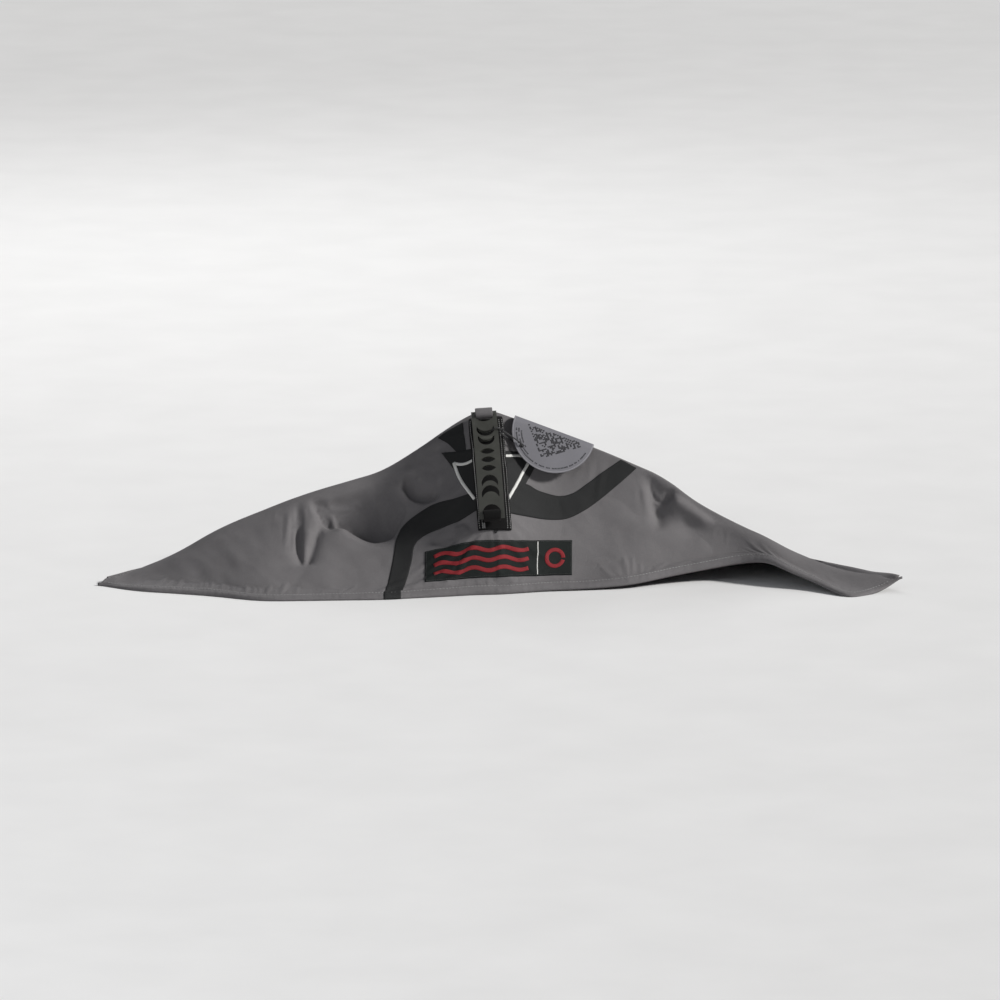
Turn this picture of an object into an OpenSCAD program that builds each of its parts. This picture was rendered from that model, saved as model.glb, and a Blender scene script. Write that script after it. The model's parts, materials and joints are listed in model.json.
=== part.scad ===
// Kayak spray skirt: a peaked fabric deck with a moulded grab handle on its front face,
// a slumped waist tunnel behind the peak, and an elastic cord round the rim.
// Frame: millimetres, +Z up, -Y is the front. The origin is on the ground under the front hem.

/* [Deck] */
// Height of the peak of the deck
peak_h = 185; // [150:1:220]
// Depth from the front hem to the rear hem
deck_depth = 473; // [450:1:520]
// Thickness of the coated deck fabric
fabric_t = 1.0; // [0.6:0.1:1.4]
// Height of the stitched hem round the rim
hem_h = 11; // [9:0.5:14]
// Diameter of the elastic rim cord
rim_cord_d = 4.8; // [4:0.2:6]

/* [Grab handle] */
// Width of the moulded grip
grip_w = 28; // [24:1:34]
// Radius of the arch that the grip follows
grip_r = 150; // [130:1:180]
// Half of the angle that the arch spans
grip_half_angle = 25.9; // [25:0.1:27]
// Thickness of the grip's perforated face
grip_t = 4; // [3:0.5:5]
// Lean of the grip's top towards the left
grip_lean = 4.3; // [0:0.1:8]
// How far the grip lifts before its loops are tight
grip_lift = 4; // [2:0.5:6]
// Width of the webbing sewn under the grip
base_w = 36; // [34:1:44]

/* [Waist tunnel] */
// Radius of the tunnel
tunnel_r = 116; // [100:1:125]
// Distance of the tunnel's centre behind the front hem
tunnel_y = 284; // [276:1:292]
// Height at which the deck meets the tunnel
tunnel_base_z = 38; // [34:1:44]
// Height of the slumped tunnel wall
tunnel_slump_h = 21; // [16:1:30]
// Diameter of the tunnel's drawcord
drawcord_d = 3; // [2:0.2:4]

/* [Cord locks] */
// Outside diameter of a cord lock's barrel
lock_d = 20; // [18:0.5:24]
// Travel of a cord lock's button
button_travel = 3; // [2:0.5:4]

/* [Swing tag] */
// Diameter of the round swing tag
tag_d = 94; // [80:1:104]
// Thickness of the tag
tag_t = 0.8; // [0.6:0.1:1.2]
// Slope of the tag's front half
tag_front_slope = 59; // [55:1:68]
// Slope of the tag's rear half
tag_rear_slope = 30; // [26:1:36]

/* [Patch] */
// Width of the rectangular badge
patch_w = 163; // [140:1:175]
// Height of the badge
patch_h = 41; // [30:1:46]

/* [Hidden] */
$fn = 48;
gap = 0.3;
eps = 0.01;

// Each row is a station across the deck: x, then the front hem's y and z, the ridge's y and z,
// and how far the face between them bows outwards. Ridge heights are shares of the peak's.
STATIONS = [
    [-437, 50, 0, 52, 0.014, 0],
    [-414, 32, 0, 62, 0.034, 1],
    [-385, 16, 0, 70, 0.086, 3],
    [-350, 6, 0, 73, 0.162, 3],
    [-301, -10, 0, 81.5, 0.304, 2],
    [-253, -31, 0, 88.5, 0.408, -1],
    [-205, -31, 0, 94, 0.503, -4],
    [-156, -28, 0, 99.5, 0.578, -8],
    [-121, -26, 0, 103, 0.635, -9],
    [-84, -18, 0, 107, 0.751, -6],
    [-40, -8, 0, 111, 0.911, 6],
    [-16, -2, 0, 112.5, 0.981, 14],
    [0, 0, 0, 112.5, 0.995, 16],
    [16, 2, 0, 112, 0.968, 13],
    [40, 9, 0.5, 110.5, 0.921, 2],
    [62, 15, 1, 109, 0.877, -5],
    [110, 21, 2, 105, 0.784, -8],
    [158, 29, 5, 100.5, 0.680, -6],
    [195, 45, 9.5, 96, 0.589, -3],
    [231, 56.5, 14, 91, 0.451, 0],
    [279, 63, 21, 83, 0.321, 2],
    [308, 51, 25, 76, 0.258, 3],
    [329, 33, 19.5, 71, 0.200, 3],
    [362, 18, 8.5, 59, 0.135, 2],
    [395, -14, 0, 44, 0.091, 1],
    [428, 8, 1, 30, 0.084, 1],
    [459, 25, 17, 27, 0.106, 0]];
left_x = STATIONS[0][0];
right_x = STATIONS[len(STATIONS) - 1][0];
// Places across the deck, closer together near the middle where the face is more curved
XS = concat([for (x = [-434:13:-148]) x], [for (x = [-138:6:150]) x], [for (x = [160:13:446]) x], [455]);
panel_left_x = -420;
panel_right_x = 440;
PANEL_XS = [for (x = XS) if (x >= panel_left_x && x <= panel_right_x) x];

// ---- curves -------------------------------------------------------------------------------
function column(row, c) = c == 4 ? row[c] * peak_h : row[c];
function station_before(x, i = 0) =
    i >= len(STATIONS) - 2 || STATIONS[i + 1][0] > x ? i : station_before(x, i + 1);
function station_slope(i, c) =
    let (a = max(i - 1, 0), b = min(i + 1, len(STATIONS) - 1))
    (column(STATIONS[b], c) - column(STATIONS[a], c)) / (STATIONS[b][0] - STATIONS[a][0]);
// Smooth value of a station column at any x, as a cubic between its neighbours
function across(x, c) =
    let (i = station_before(x), x0 = STATIONS[i][0], h = STATIONS[i + 1][0] - x0,
        t = (x - x0) / h, y0 = column(STATIONS[i], c), y1 = column(STATIONS[i + 1], c),
        m0 = station_slope(i, c) * h, m1 = station_slope(i + 1, c) * h)
    y0 * (1 + 2 * t) * pow(1 - t, 2) + m0 * t * pow(1 - t, 2)
        + y1 * t * t * (3 - 2 * t) + m1 * t * t * (t - 1);
function mix(a, b, t) = a + (b - a) * t;
function smooth(t) = let (s = min(max(t, 0), 1)) s * s * (3 - 2 * s);

function hem_point(x) = [x, across(x, 1), across(x, 2)];
function ridge_point(x) = [x, across(x, 3), across(x, 4)];
function face_length(x) = norm(ridge_point(x) - hem_point(x));
// A point of the front face at x, a share v of the way from the hem to the ridge
function face_share(x, v) =
    let (a = hem_point(x), b = ridge_point(x), c = (b - a) / norm(b - a))
    mix(a, b, v) + [0, -c[2], c[1]] * across(x, 5) * 4 * v * (1 - v);
// The same, w millimetres up the face from the hem
function face(x, w) = face_share(x, w / face_length(x));
function unit(v) = v / norm(v);
function face_normal(x, w) =
    let (d = 0.5, u = face(x + d, w) - face(x - d, w), v = face(x, w + d) - face(x, w - d))
    unit(cross(u, v));
function face_lifted(x, w, lift) = face(x, w) + face_normal(x, w) * lift;

// Rear hem: a rounded tail behind the two tips
rear_tip_lift = 14;
left_tip_y = 59;
right_tip_y = 28;
function rear_y(x) =
    let (half = x < 0 ? 1 - left_x : 1 + right_x, tip = x < 0 ? left_tip_y : right_tip_y)
    mix(tip, deck_depth, pow(1 - pow(abs(x) / half, 1.35), 1.5 - 0.6 * smooth(1.6 - 1.6 * abs(x) / half)));
function rear_z(x) = rear_tip_lift * smooth((x - 425) / 34);
function rear_point(x) = [x, rear_y(x), rear_z(x)];
// The hem gets lower towards the two tips
function tip_share(x) = mix(0.6, 1, smooth(min(x - left_x, right_x - x) / 70));

// ---- solids from points -------------------------------------------------------------------
function quad(a, b, c, d) = [[a, b, c], [a, c, d]];
function flat(lists) = [for (l = lists) for (v = l) v];

// A sheet between two grids of points, outer over inner. A ring joins its last row to its first.
module sheet(outer, inner, ring = false) {
    n = len(outer);
    m = len(outer[0]);
    last = ring ? n : n - 1;
    function at(i, j, s) = (s * n + i % n) * m + j;
    skins = [for (i = [0:last - 1]) for (j = [0:m - 2]) each concat(
        quad(at(i, j, 0), at(i, j + 1, 0), at(i + 1, j + 1, 0), at(i + 1, j, 0)),
        quad(at(i, j, 1), at(i + 1, j, 1), at(i + 1, j + 1, 1), at(i, j + 1, 1)))];
    sides = [for (i = [0:last - 1]) each concat(
        quad(at(i, 0, 1), at(i, 0, 0), at(i + 1, 0, 0), at(i + 1, 0, 1)),
        quad(at(i, m - 1, 0), at(i, m - 1, 1), at(i + 1, m - 1, 1), at(i + 1, m - 1, 0)))];
    ends = ring ? [] : [for (j = [0:m - 2]) each concat(
        quad(at(0, j, 0), at(0, j, 1), at(0, j + 1, 1), at(0, j + 1, 0)),
        quad(at(n - 1, j, 1), at(n - 1, j, 0), at(n - 1, j + 1, 0), at(n - 1, j + 1, 1)))];
    polyhedron(concat(flat(outer), flat(inner)), concat(skins, sides, ends));
}

// A sheet laid on the front face: rows of [x, w] pairs, from one lift above the face to another
module on_face(rows, lift, t) {
    sheet([for (r = rows) [for (p = r) face_lifted(p[0], p[1], lift + t)]],
        [for (r = rows) [for (p = r) face_lifted(p[0], p[1], lift)]]);
}

function path_dir(path, i) =
    unit(path[min(i + 1, len(path) - 1)] - path[max(i - 1, 0)]);
// Section frame of a path: the first axis stays level, the second completes the frame
function level_side(d) = unit(cross(d, [0, 0, 1]));
function section_at(path, i, outline) =
    let (d = path_dir(path, i), s = level_side(d), u = cross(s, d))
    [for (q = outline) path[i] + s * q[0] + u * q[1]];

// A solid bar with the outline swept along the path
module swept(path, outline) {
    n = len(path);
    m = len(outline);
    points = flat([for (i = [0:n - 1]) section_at(path, i, outline)]);
    walls = [for (i = [0:n - 2]) for (j = [0:m - 1]) each
        quad(i * m + j, (i + 1) * m + j, (i + 1) * m + (j + 1) % m, i * m + (j + 1) % m)];
    caps = [[for (j = [0:m - 1]) j], [for (j = [m - 1:-1:0]) (n - 1) * m + j]];
    polyhedron(points, concat(walls, caps));
}

// A tube: outer outlines along the path, one for each point, over inner outlines left open
module swept_tube(path, outer, inner) {
    n = len(path);
    m = len(outer[0]);
    function at(i, j, s) = (s * n + i) * m + j % m;
    points = concat(flat([for (i = [0:n - 1]) section_at(path, i, outer[i])]),
        flat([for (i = [0:n - 1]) section_at(path, i, inner[i])]));
    walls = [for (i = [0:n - 2]) for (j = [0:m - 1]) each concat(
        quad(at(i, j, 0), at(i + 1, j, 0), at(i + 1, j + 1, 0), at(i, j + 1, 0)),
        quad(at(i, j, 1), at(i, j + 1, 1), at(i + 1, j + 1, 1), at(i + 1, j, 1)))];
    rims = [for (j = [0:m - 1]) each concat(
        quad(at(0, j, 0), at(0, j + 1, 0), at(0, j + 1, 1), at(0, j, 1)),
        quad(at(n - 1, j + 1, 0), at(n - 1, j, 0), at(n - 1, j, 1), at(n - 1, j + 1, 1)))];
    polyhedron(points, concat(walls, rims));
}
function round_outline(r, sides = 8) =
    [for (k = [0:sides - 1]) r * [cos(360 * k / sides), sin(360 * k / sides)]];
// Hem section: flat underneath, so that the rim rests on the ground
function hem_section(w, h, low = 0) =
    [[-w / 2, low], [w / 2, low], [w / 2, low + 0.62 * h], [w / 4, low + h],
        [-w / 4, low + h], [-w / 2, low + 0.62 * h]];
// Hem casing along a path of points: folded fabric round an open channel for the cord
hem_w = 7.6;
hem_skin = 0.8;
module hem_casing(path) {
    swept_tube(path, [for (p = path) hem_section(hem_w, hem_h * tip_share(p[0]))],
        [for (p = path) hem_section(hem_w - 2 * hem_skin, hem_h * tip_share(p[0]) - 1.9, hem_skin)]);
}
// An extrusion along X of a profile drawn in Y and Z
module profile_x(w) rotate([90, 0, 90]) linear_extrude(w, center = true) children();

// ---- fabric deck --------------------------------------------------------------------------
face_steps = 12;
function panel_foot(x) = min(hem_h * tip_share(x) + gap, 0.45 * face_length(x));
module front_panel() {
    rows = [for (x = PANEL_XS) let (foot = panel_foot(x))
        [for (j = [0:face_steps]) [x, mix(foot, face_length(x) - 0.2, j / face_steps)]]];
    color("dimgray") on_face(rows, -fabric_t / 2, fabric_t);
}

// The rear deck runs from the ridge and the rear hem in to the tunnel's base ring
deck_left_x = -392;
deck_right_x = 426;
ridge_rows = 40;
rear_rows = 30;
deck_cols = 6;
deck_edge = tunnel_r + 2.2;
ridge_gap = 1.6;
hem_gap = 0.5;
deck_row_count = ridge_rows + rear_rows + 2;
function deck_outer(k) =
    k <= ridge_rows
    ? let (x = mix(deck_left_x, deck_right_x, k / ridge_rows)) ridge_point(x) + [0, ridge_gap, -0.4]
    : let (x = mix(deck_right_x, deck_left_x, (k - ridge_rows - 0.7) / (rear_rows + 0.6)))
        rear_point(x) + [0, 0, hem_h * tip_share(x) + hem_gap + fabric_t];
function deck_angle(k) =
    k <= ridge_rows ? 180 + 180 * k / ridge_rows : 180 * (k - ridge_rows) / (rear_rows + 2);
function deck_inner(k) =
    [deck_edge * cos(deck_angle(k)), tunnel_y + deck_edge * sin(deck_angle(k)), tunnel_base_z];
front_sag = 6;
rear_rise = 5;
function deck_point(k, v) =
    mix(deck_outer(k), deck_inner(k), v)
        + [0, 0, 4 * v * (1 - v) * (k <= ridge_rows ? -front_sag : rear_rise)];
module rear_deck() {
    outer = [for (k = [0:deck_row_count - 1]) [for (j = [0:deck_cols]) deck_point(k, j / deck_cols)]];
    inner = [for (r = outer) [for (p = r) p - [0, 0, fabric_t]]];
    color("dimgray") sheet(outer, inner, ring = true);
}

// Stitched hems along the front and rear edges
module front_hem() {
    color("gray") hem_casing([for (x = XS) hem_point(x)]);
}
rear_steps = 24;
cord_gap_half = 17;
module rear_hem() {
    color("gray") for (end = [panel_left_x - 4, panel_right_x + 5])
        hem_casing([for (i = [0:rear_steps]) rear_point(mix(sign(end) * cord_gap_half, end, i / rear_steps))]);
}

// Tape that covers the ridge seam from inside
tape_w = 16;
tape_t = 0.5;
tape_xs = [for (x = PANEL_XS) if (x > -350 && x < 300) x];
module ridge_tape() {
    rows = [for (x = tape_xs) let (top = face_length(x) - 1.5)
        [for (k = [0:2]) [x, top - tape_w + tape_w * k / 2]]];
    color("darkslategray") on_face(rows, -fabric_t / 2 - gap - tape_t, tape_t);
}

// ---- rim cord and its lock ----------------------------------------------------------------
rim_cord_r = rim_cord_d / 2;
cord_z = 5.2;
rim_tail_x = 3.2;
rim_tail_z = 14;
rim_tail_start = deck_depth + 22;
rim_tail_end = deck_depth + 88;
function cord_height(x) = cord_z * mix(0.75, 1, smooth((tip_share(x) - 0.6) / 0.4));
function in_hem(p) = p + [0, 0, cord_height(p[0])];
// The cord runs in three lengths, each sewn down inside the hem short of the tips
cord_stop = 34;
// Where a tail leaves the hem, and how tightly it turns back
tail_turn_x = 14;
tail_turn_r = 9;
// One side of the rim behind the tips, from near the tip to the end of its tail
function rim_side(side) = let (tip = side < 0 ? left_x + cord_stop : right_x - cord_stop) concat(
    [for (i = [0:rear_steps - 1])
        in_hem(rear_point(mix(tip, side * (cord_gap_half + 4), i / (rear_steps - 1))))],
    [for (a = [0:15:75]) [side * (tail_turn_x - tail_turn_r * sin(a)),
        rear_y(tail_turn_x) + tail_turn_r * (1 - cos(a)), mix(cord_z, rim_tail_z, smooth(a / 120))]],
    [[side * rim_tail_x, rim_tail_start, rim_tail_z], [side * rim_tail_x, rim_tail_end, rim_tail_z]]);
rim_front = [for (x = XS) if (x > left_x + cord_stop && x < right_x - cord_stop) in_hem(hem_point(x))];
module shock_cord() {
    color("black") for (path = [rim_side(-1), rim_front, rim_side(1)]) swept(path, round_outline(rim_cord_r));
}
module cord_end(r, l) {
    difference() {
        cylinder(r = r + 1.4, h = l);
        translate([0, 0, -eps]) cylinder(r = r + 0.15, h = l - 1.5);
    }
}
module rim_cord_ends() {
    color("black") for (side = [-1, 1])
        translate([side * rim_tail_x, rim_tail_end - 9, rim_tail_z])
            rotate([-90, 0, 0]) cord_end(rim_cord_r, 11);
}

// Cord lock: a barrel standing on its closed end, with a slot across it for two cords side by
// side, a sprung button with a matching slot, and the spring under the button.
lock_wall = 1.8;
lock_floor = 2;
lock_r = lock_d / 2;
lock_below = 13;
lock_above = 8;
lock_chamfer = 1.2;
button_clearance = 0.08;
button_r = lock_r - lock_wall - button_clearance;
button_foot = 4.4;
button_top = 14;
button_taper = 2.5;
slot_clearance = 0.35;
module cord_slot(half_w, r, extra = 0) {
    rotate([90, 0, 0]) linear_extrude(3 * lock_d, center = true) {
        for (s = [-1, 1]) for (z = [0, extra]) translate([s * half_w, z]) circle(r = r);
        translate([-half_w, -r]) square([2 * half_w, 2 * r + extra]);
        translate([-half_w - r, 0]) square([2 * (half_w + r), max(extra, eps)]);
    }
}
module lock_barrel(half_w, cord_r) {
    color("black") difference() {
        rotate_extrude() polygon([[0, -lock_below], [lock_r - lock_chamfer, -lock_below],
            [lock_r, lock_chamfer - lock_below], [lock_r, lock_above - lock_chamfer],
            [lock_r - lock_chamfer / 2, lock_above], [lock_r - lock_wall, lock_above],
            [lock_r - lock_wall, lock_floor - lock_below], [0, lock_floor - lock_below]]);
        cord_slot(half_w, cord_r + slot_clearance);
    }
}
module lock_button(half_w, cord_r) {
    color("black") difference() {
        rotate_extrude() polygon([[0, -button_foot], [button_r, -button_foot],
            [button_r, button_top - button_taper], [button_r - button_taper, button_top], [0, button_top]]);
        cord_slot(half_w, cord_r + slot_clearance, button_travel + 0.2);
    }
}
spring_r = 5.4;
spring_wire = 0.5;
spring_turns = 3;
spring_steps = 14;
module lock_spring() {
    z0 = lock_floor - lock_below + spring_wire + 0.1;
    z1 = -button_foot - spring_wire - 0.1;
    count = spring_turns * spring_steps;
    coil = [for (k = [0:count]) let (a = 360 * k / spring_steps)
        [spring_r * cos(a), spring_r * sin(a), mix(z0, z1, k / count)]];
    color("silver") swept(coil, round_outline(spring_wire, 6));
}
rim_lock_y = deck_depth + 52;
module at_rim_lock() translate([0, rim_lock_y, rim_tail_z]) children();

// ---- deck stay ----------------------------------------------------------------------------
// A pre-bent rod that holds the peak up: two straight legs joined by an arc, under the ridge
stay_d = 8;
stay_half = 176;
stay_h = 177.5;
stay_bend_r = 46;
stay_y = 96;
stay_foot_z = 8;
stay_tilt = -4;
leg_angle = atan(stay_h / stay_half);
stay_bend_z = stay_h - stay_bend_r / cos(leg_angle);
bend_steps = 8;
module at_stay() translate([0, stay_y, stay_foot_z]) rotate([stay_tilt, 0, 0]) children();
module along_leg(side) translate([side * stay_half, 0, 0]) rotate([0, -side * (90 - leg_angle), 0]) children();
stay_path = concat([[-stay_half, 0, 0]],
    [for (i = [0:bend_steps]) let (a = leg_angle * (1 - 2 * i / bend_steps))
        [-stay_bend_r * sin(a), 0, stay_bend_z + stay_bend_r * cos(a)]],
    [[stay_half, 0, 0]]);
module deck_stay() {
    color("silver") at_stay() swept(stay_path, round_outline(stay_d / 2, 12));
}
cap_wall = 1.2;
module stay_caps() {
    color("black") at_stay() for (side = [-1, 1]) along_leg(side) difference() {
        translate([0, 0, -2]) cylinder(d = stay_d + 2 * cap_wall, h = 14);
        translate([0, 0, -0.2]) cylinder(d = stay_d + 0.4, h = 20);
    }
}
module stay_pockets() {
    color("dimgray") at_stay() for (side = [-1, 1]) along_leg(side) difference() {
        translate([0, 0, -3.5]) cylinder(d = stay_d + 6, h = 34);
        translate([0, 0, -2.4]) cylinder(d = stay_d + 3.4, h = 40);
    }
}
module stay_loop() {
    color("black") at_stay() translate([0, 0, stay_bend_z + stay_bend_r - 0.4]) rotate([0, 90, 0]) difference() {
        cylinder(r = stay_d / 2 + 2, h = 20, center = true);
        cylinder(r = stay_d / 2 + 1.2, h = 22, center = true);
    }
}
// Webbing that holds each pocket to the front hem
strap_w = 20;
strap_t = 1.4;
module stay_straps() {
    color("black") for (side = [-1, 1]) let (x = side * (stay_half - 2), y = across(x, 1) + 10)
        translate([x - strap_w / 2, y, 2 + across(x, 2)])
            rotate([side > 0 ? -1.2 : 0, 0, 0]) cube([strap_w, stay_y - 12 - y, strap_t]);
}

// ---- welded trim and badge ----------------------------------------------------------------
// Points along a smooth line through a few given ones
function bend(p, i, t) =
    let (a = p[max(i - 1, 0)], b = p[i], c = p[i + 1], d = p[min(i + 2, len(p) - 1)])
    0.5 * (2 * b + (c - a) * t + (2 * a - 5 * b + 4 * c - d) * t * t + (3 * b - a - 3 * c + d) * t * t * t);
function curve(p, steps = 4) =
    concat([for (i = [0:len(p) - 2]) for (k = [0:steps - 1]) bend(p, i, k / steps)], [p[len(p) - 1]]);
// Rows that fill the space between two edges with the same number of points
function between(a, b, cols) = [for (i = [0:len(a) - 1]) [for (k = [0:cols]) mix(a[i], b[i], k / cols)]];
// A strip of even width along a line of [x, w] points on the face
function line_dir(line, i) =
    let (d = line[min(i + 1, len(line) - 1)] - line[max(i - 1, 0)]) d / norm(d);
function strip(line, w, cols = 1) = [for (i = [0:len(line) - 1])
    let (d = line_dir(line, i), n = [d[1], -d[0]]) [for (k = [0:cols]) line[i] + n * w * (0.5 - k / cols)]];

trim_lift = fabric_t / 2 + 0.3;
band_t = 0.4;
module band(edge_a, edge_b, steps = 3) {
    color("#2d2d2f") on_face(between(curve(edge_b, steps), curve(edge_a, steps), 4), trim_lift, band_t);
}
module accent_band_left() {
    band([[-115, 13], [-108, 57], [-103, 91], [-93, 106], [-66, 116], [-38, 115], [-24, 116]],
        [[-95.5, 13], [-87, 51], [-83.5, 71], [-72, 80], [-52, 84], [-33, 88], [-10, 98]]);
}
module accent_band_right() {
    band([[33, 126], [40, 126], [54, 118], [76, 112], [92, 115], [108, 125], [126, 137], [145, 147]],
        [[16, 95], [38, 88], [61, 84], [84, 85], [101, 92], [117, 102], [140, 119], [162, 134]]);
}
module accent_band_upper() {
    band([[-57, 194], [-48, 199], [-38, 203]], [[-46, 184], [-40, 176], [-31, 172]]);
}
// Dark inverted triangle behind the handle
panel_left = [-54, 175];
panel_right = [60, 164];
panel_apex = [6.5, 66];
panel_lift = trim_lift + band_t + gap;
module centre_panel() {
    rows = [for (t = [0:1 / 12:0.95]) [for (k = [0:14]) mix(mix(panel_left, panel_right, k / 14), panel_apex, t)]];
    color("#2d2d2f") on_face(rows, panel_lift, band_t);
}
// Thin pale outline inside the dark triangle, in four pieces with the handle between them
outline_w = 4;
outline_t = 0.3;
outline_lift = panel_lift + band_t + gap;
OUTLINES = [[[-20, 154], [-31, 153], [-40, 158]], [[-40, 152], [-31, 132], [-19, 112]],
    [[19, 105], [27, 121], [35, 137], [43, 152]], [[15, 158], [28, 159], [42, 158]]];
module pale_outline() {
    color("lightgray") for (line = OUTLINES) on_face(strip(curve(line), outline_w), outline_lift, outline_t);
}

badge_x = -72;
badge_foot = 19;
badge_cell = 124;
badge_t = 0.9;
badge_steps = 26;
module badge_base() {
    rows = [for (i = [0:badge_steps]) let (x = badge_x + patch_w * i / badge_steps)
        [for (j = [0:4]) [x, badge_foot + patch_h * j / 4]]];
    color("#1c2322") on_face(rows, trim_lift, badge_t);
}
motif_t = 0.4;
motif_lift = trim_lift + badge_t + 0.2;
wave_w = 4.2;
wave_pitch = 11;
wave_h = 2;
dot_r = 9.5;
module badge_motif() {
    middle = badge_foot + patch_h / 2;
    color("firebrick") {
        for (k = [-1:1]) on_face(strip([for (t = [0:1 / 24:1])
            [badge_x + mix(10, badge_cell - 10, t), middle + k * wave_pitch + wave_h * sin(t * 1080)]], wave_w),
            motif_lift, motif_t);
        on_face(strip([for (a = [0:15:345])
            [badge_x + (badge_cell + patch_w) / 2 + dot_r * cos(a), middle + dot_r * sin(a)]], wave_w),
            motif_lift, motif_t);
    }
}
module badge_divider() {
    color("lightgray") on_face(strip([for (t = [0:0.2:1])
        [badge_x + badge_cell, badge_foot + 1 + t * (patch_h - 2)]], 0.9), motif_lift, motif_t);
}

// ---- grab handle --------------------------------------------------------------------------
handle_x = -2;
handle_w = 139;
slope_step = 2;
handle_slope = let (a = face(handle_x, handle_w - slope_step), b = face(handle_x, handle_w + slope_step))
    atan2(b[2] - a[2], b[1] - a[1]);
handle_at = face(handle_x, handle_w);
base_lift = outline_lift + outline_t + 0.25;
base_t = 1.6;
// Local frame of the handle: +Y up the face, +Z out of it
module at_handle()
    translate(handle_at) rotate([handle_slope, 0, 0]) rotate([0, 0, grip_lean]) translate([0, grip_shift, 0]) children();
grip_shift = 4;
arch_top = 24;
arch_z = arch_top - grip_r;
module on_arch(a) translate([0, 0, arch_z]) rotate([-a, 0, 0]) translate([0, 0, grip_r]) children();

base_low = 71;
base_high = 207;
module handle_base() {
    rows = [for (i = [0:8]) let (k = i / 8 - 0.5)
        [for (j = [0:14]) let (w = mix(base_low, base_high, j / 14))
            [handle_x + k * base_w - (w - handle_w) * tan(grip_lean), w]]];
    color("#171717") on_face(rows, base_lift, base_t);
}

wall_w = 3;
wall_drop = 5;
module grip_blank() {
    translate([0, 0, arch_z]) rotate([180, -90, 0]) rotate([0, 0, -grip_half_angle])
        rotate_extrude(angle = 2 * grip_half_angle) {
            translate([grip_r - grip_t, -grip_w / 2]) square([grip_t, grip_w]);
            for (s = [-1, 1]) translate([grip_r - wall_drop, s * (grip_w / 2 - wall_w / 2) - wall_w / 2])
                square([wall_drop, wall_w]);
        }
}
module crescent(r) difference() {
    circle(r = r);
    translate([0, -0.69 * r]) circle(r = 0.98 * r);
}
lens_r = 11.1;
lens_offset = 7.7;
module lens() intersection() {
    translate([0, -lens_offset]) circle(r = lens_r);
    translate([0, lens_offset]) circle(r = lens_r);
}
window_r = 10.3;
window_cut = 0.3;
module end_window() intersection() {
    circle(r = window_r);
    translate([-window_r, -window_cut]) square([2 * window_r, 2 * window_r]);
}
// Openings by length along the arch: lenses in the middle, crescents bowing away from them, and
// a half-round window at each end, beyond which a bar is left
lens_at = [-10.3, 0, 10.3];
crescent_at = [27.6, 40.2];
window_at = 62;
bar_angle = (arc_angle(window_at + window_cut) + grip_half_angle) / 2;
function arc_angle(l) = l / grip_r * 180 / PI;
module cut(l) on_arch(arc_angle(l)) linear_extrude(24, center = true) children();
module handle_grip() {
    color("#3e3f3b") at_handle() difference() {
        grip_blank();
        for (l = lens_at) cut(l) lens();
        for (s = [-1, 1]) {
            cut(s * crescent_at[0]) rotate(s > 0 ? 180 : 0) crescent(9.2);
            cut(s * crescent_at[1]) rotate(s > 0 ? 180 : 0) crescent(9.8);
            cut(s * window_at) rotate(s > 0 ? 180 : 0) end_window();
        }
    }
}

// Webbing loop round an end bar of the grip, long enough for the grip to lift inside it
loop_w = 19;
loop_t = 1.2;
loop_r = 4.5;
bar_mid_r = grip_r - grip_t / 2;
function bar_at(side) = [0, side * bar_mid_r * sin(bar_angle), arch_z + bar_mid_r * cos(bar_angle)];
module loop_outline(r) {
    for (z = [0, grip_lift]) translate([0, z]) circle(r = r);
    translate([-r, 0]) square([2 * r, grip_lift]);
}
module handle_loop(side) {
    color(side < 0 ? "#0c0c0c" : "dimgray") at_handle() translate(bar_at(side)) profile_x(loop_w) difference() {
        loop_outline(loop_r + loop_t);
        loop_outline(loop_r);
    }
}

// ---- swing tag ----------------------------------------------------------------------------
// The tag lies over the ridge like a saddle: a flat front half, a short bend and a flat rear half
tag_x = 68;
tag_roll = 20.5;
tag_yaw = -1;
tag_bend_r = 8;
tag_r = tag_d / 2;
tag_rise = 3.9;
tag_bend_half = tag_bend_r * (tag_front_slope + tag_rear_slope) * PI / 360;
tag_middle_angle = (tag_front_slope - tag_rear_slope) / 2;
tag_origin = ridge_point(tag_x) + [0.5, -3.5, tag_rise - tag_bend_r];
function turn_x(p, a) = [p[0], p[1] * cos(a) - p[2] * sin(a), p[1] * sin(a) + p[2] * cos(a)];
function turn_y(p, a) = [p[0] * cos(a) + p[2] * sin(a), p[1], p[2] * cos(a) - p[0] * sin(a)];
function turn_z(p, a) = [p[0] * cos(a) - p[1] * sin(a), p[0] * sin(a) + p[1] * cos(a), p[2]];
// A point of the tag, x along the fold and s across it (positive to the front), lifted off its back
function tag_local(x, s, lift) =
    let (a = min(max(tag_middle_angle + s / tag_bend_r * 180 / PI, -tag_rear_slope), tag_front_slope),
        r = tag_bend_r + lift, front = max(s - tag_bend_half, 0), rear = max(-s - tag_bend_half, 0))
    [x, -r * sin(a) - front * cos(tag_front_slope) + rear * cos(tag_rear_slope),
        r * cos(a) - front * sin(tag_front_slope) - rear * sin(tag_rear_slope)];
function tag_point(x, s, lift) = tag_origin + turn_z(turn_y(tag_local(x, s, lift), tag_roll), tag_yaw);
tag_hole = [-29, 31];
tag_hole_r = 2.4;
tag_cols = 16;
tag_centre_s = 3.5;
tag_rows = 24;
module at_tag() translate(tag_origin) rotate([0, tag_roll, tag_yaw]) children();
module at_tag_hole() at_tag() translate(tag_local(tag_hole[0], tag_hole[1], 0)) rotate([tag_front_slope, 0, 0]) children();
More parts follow.
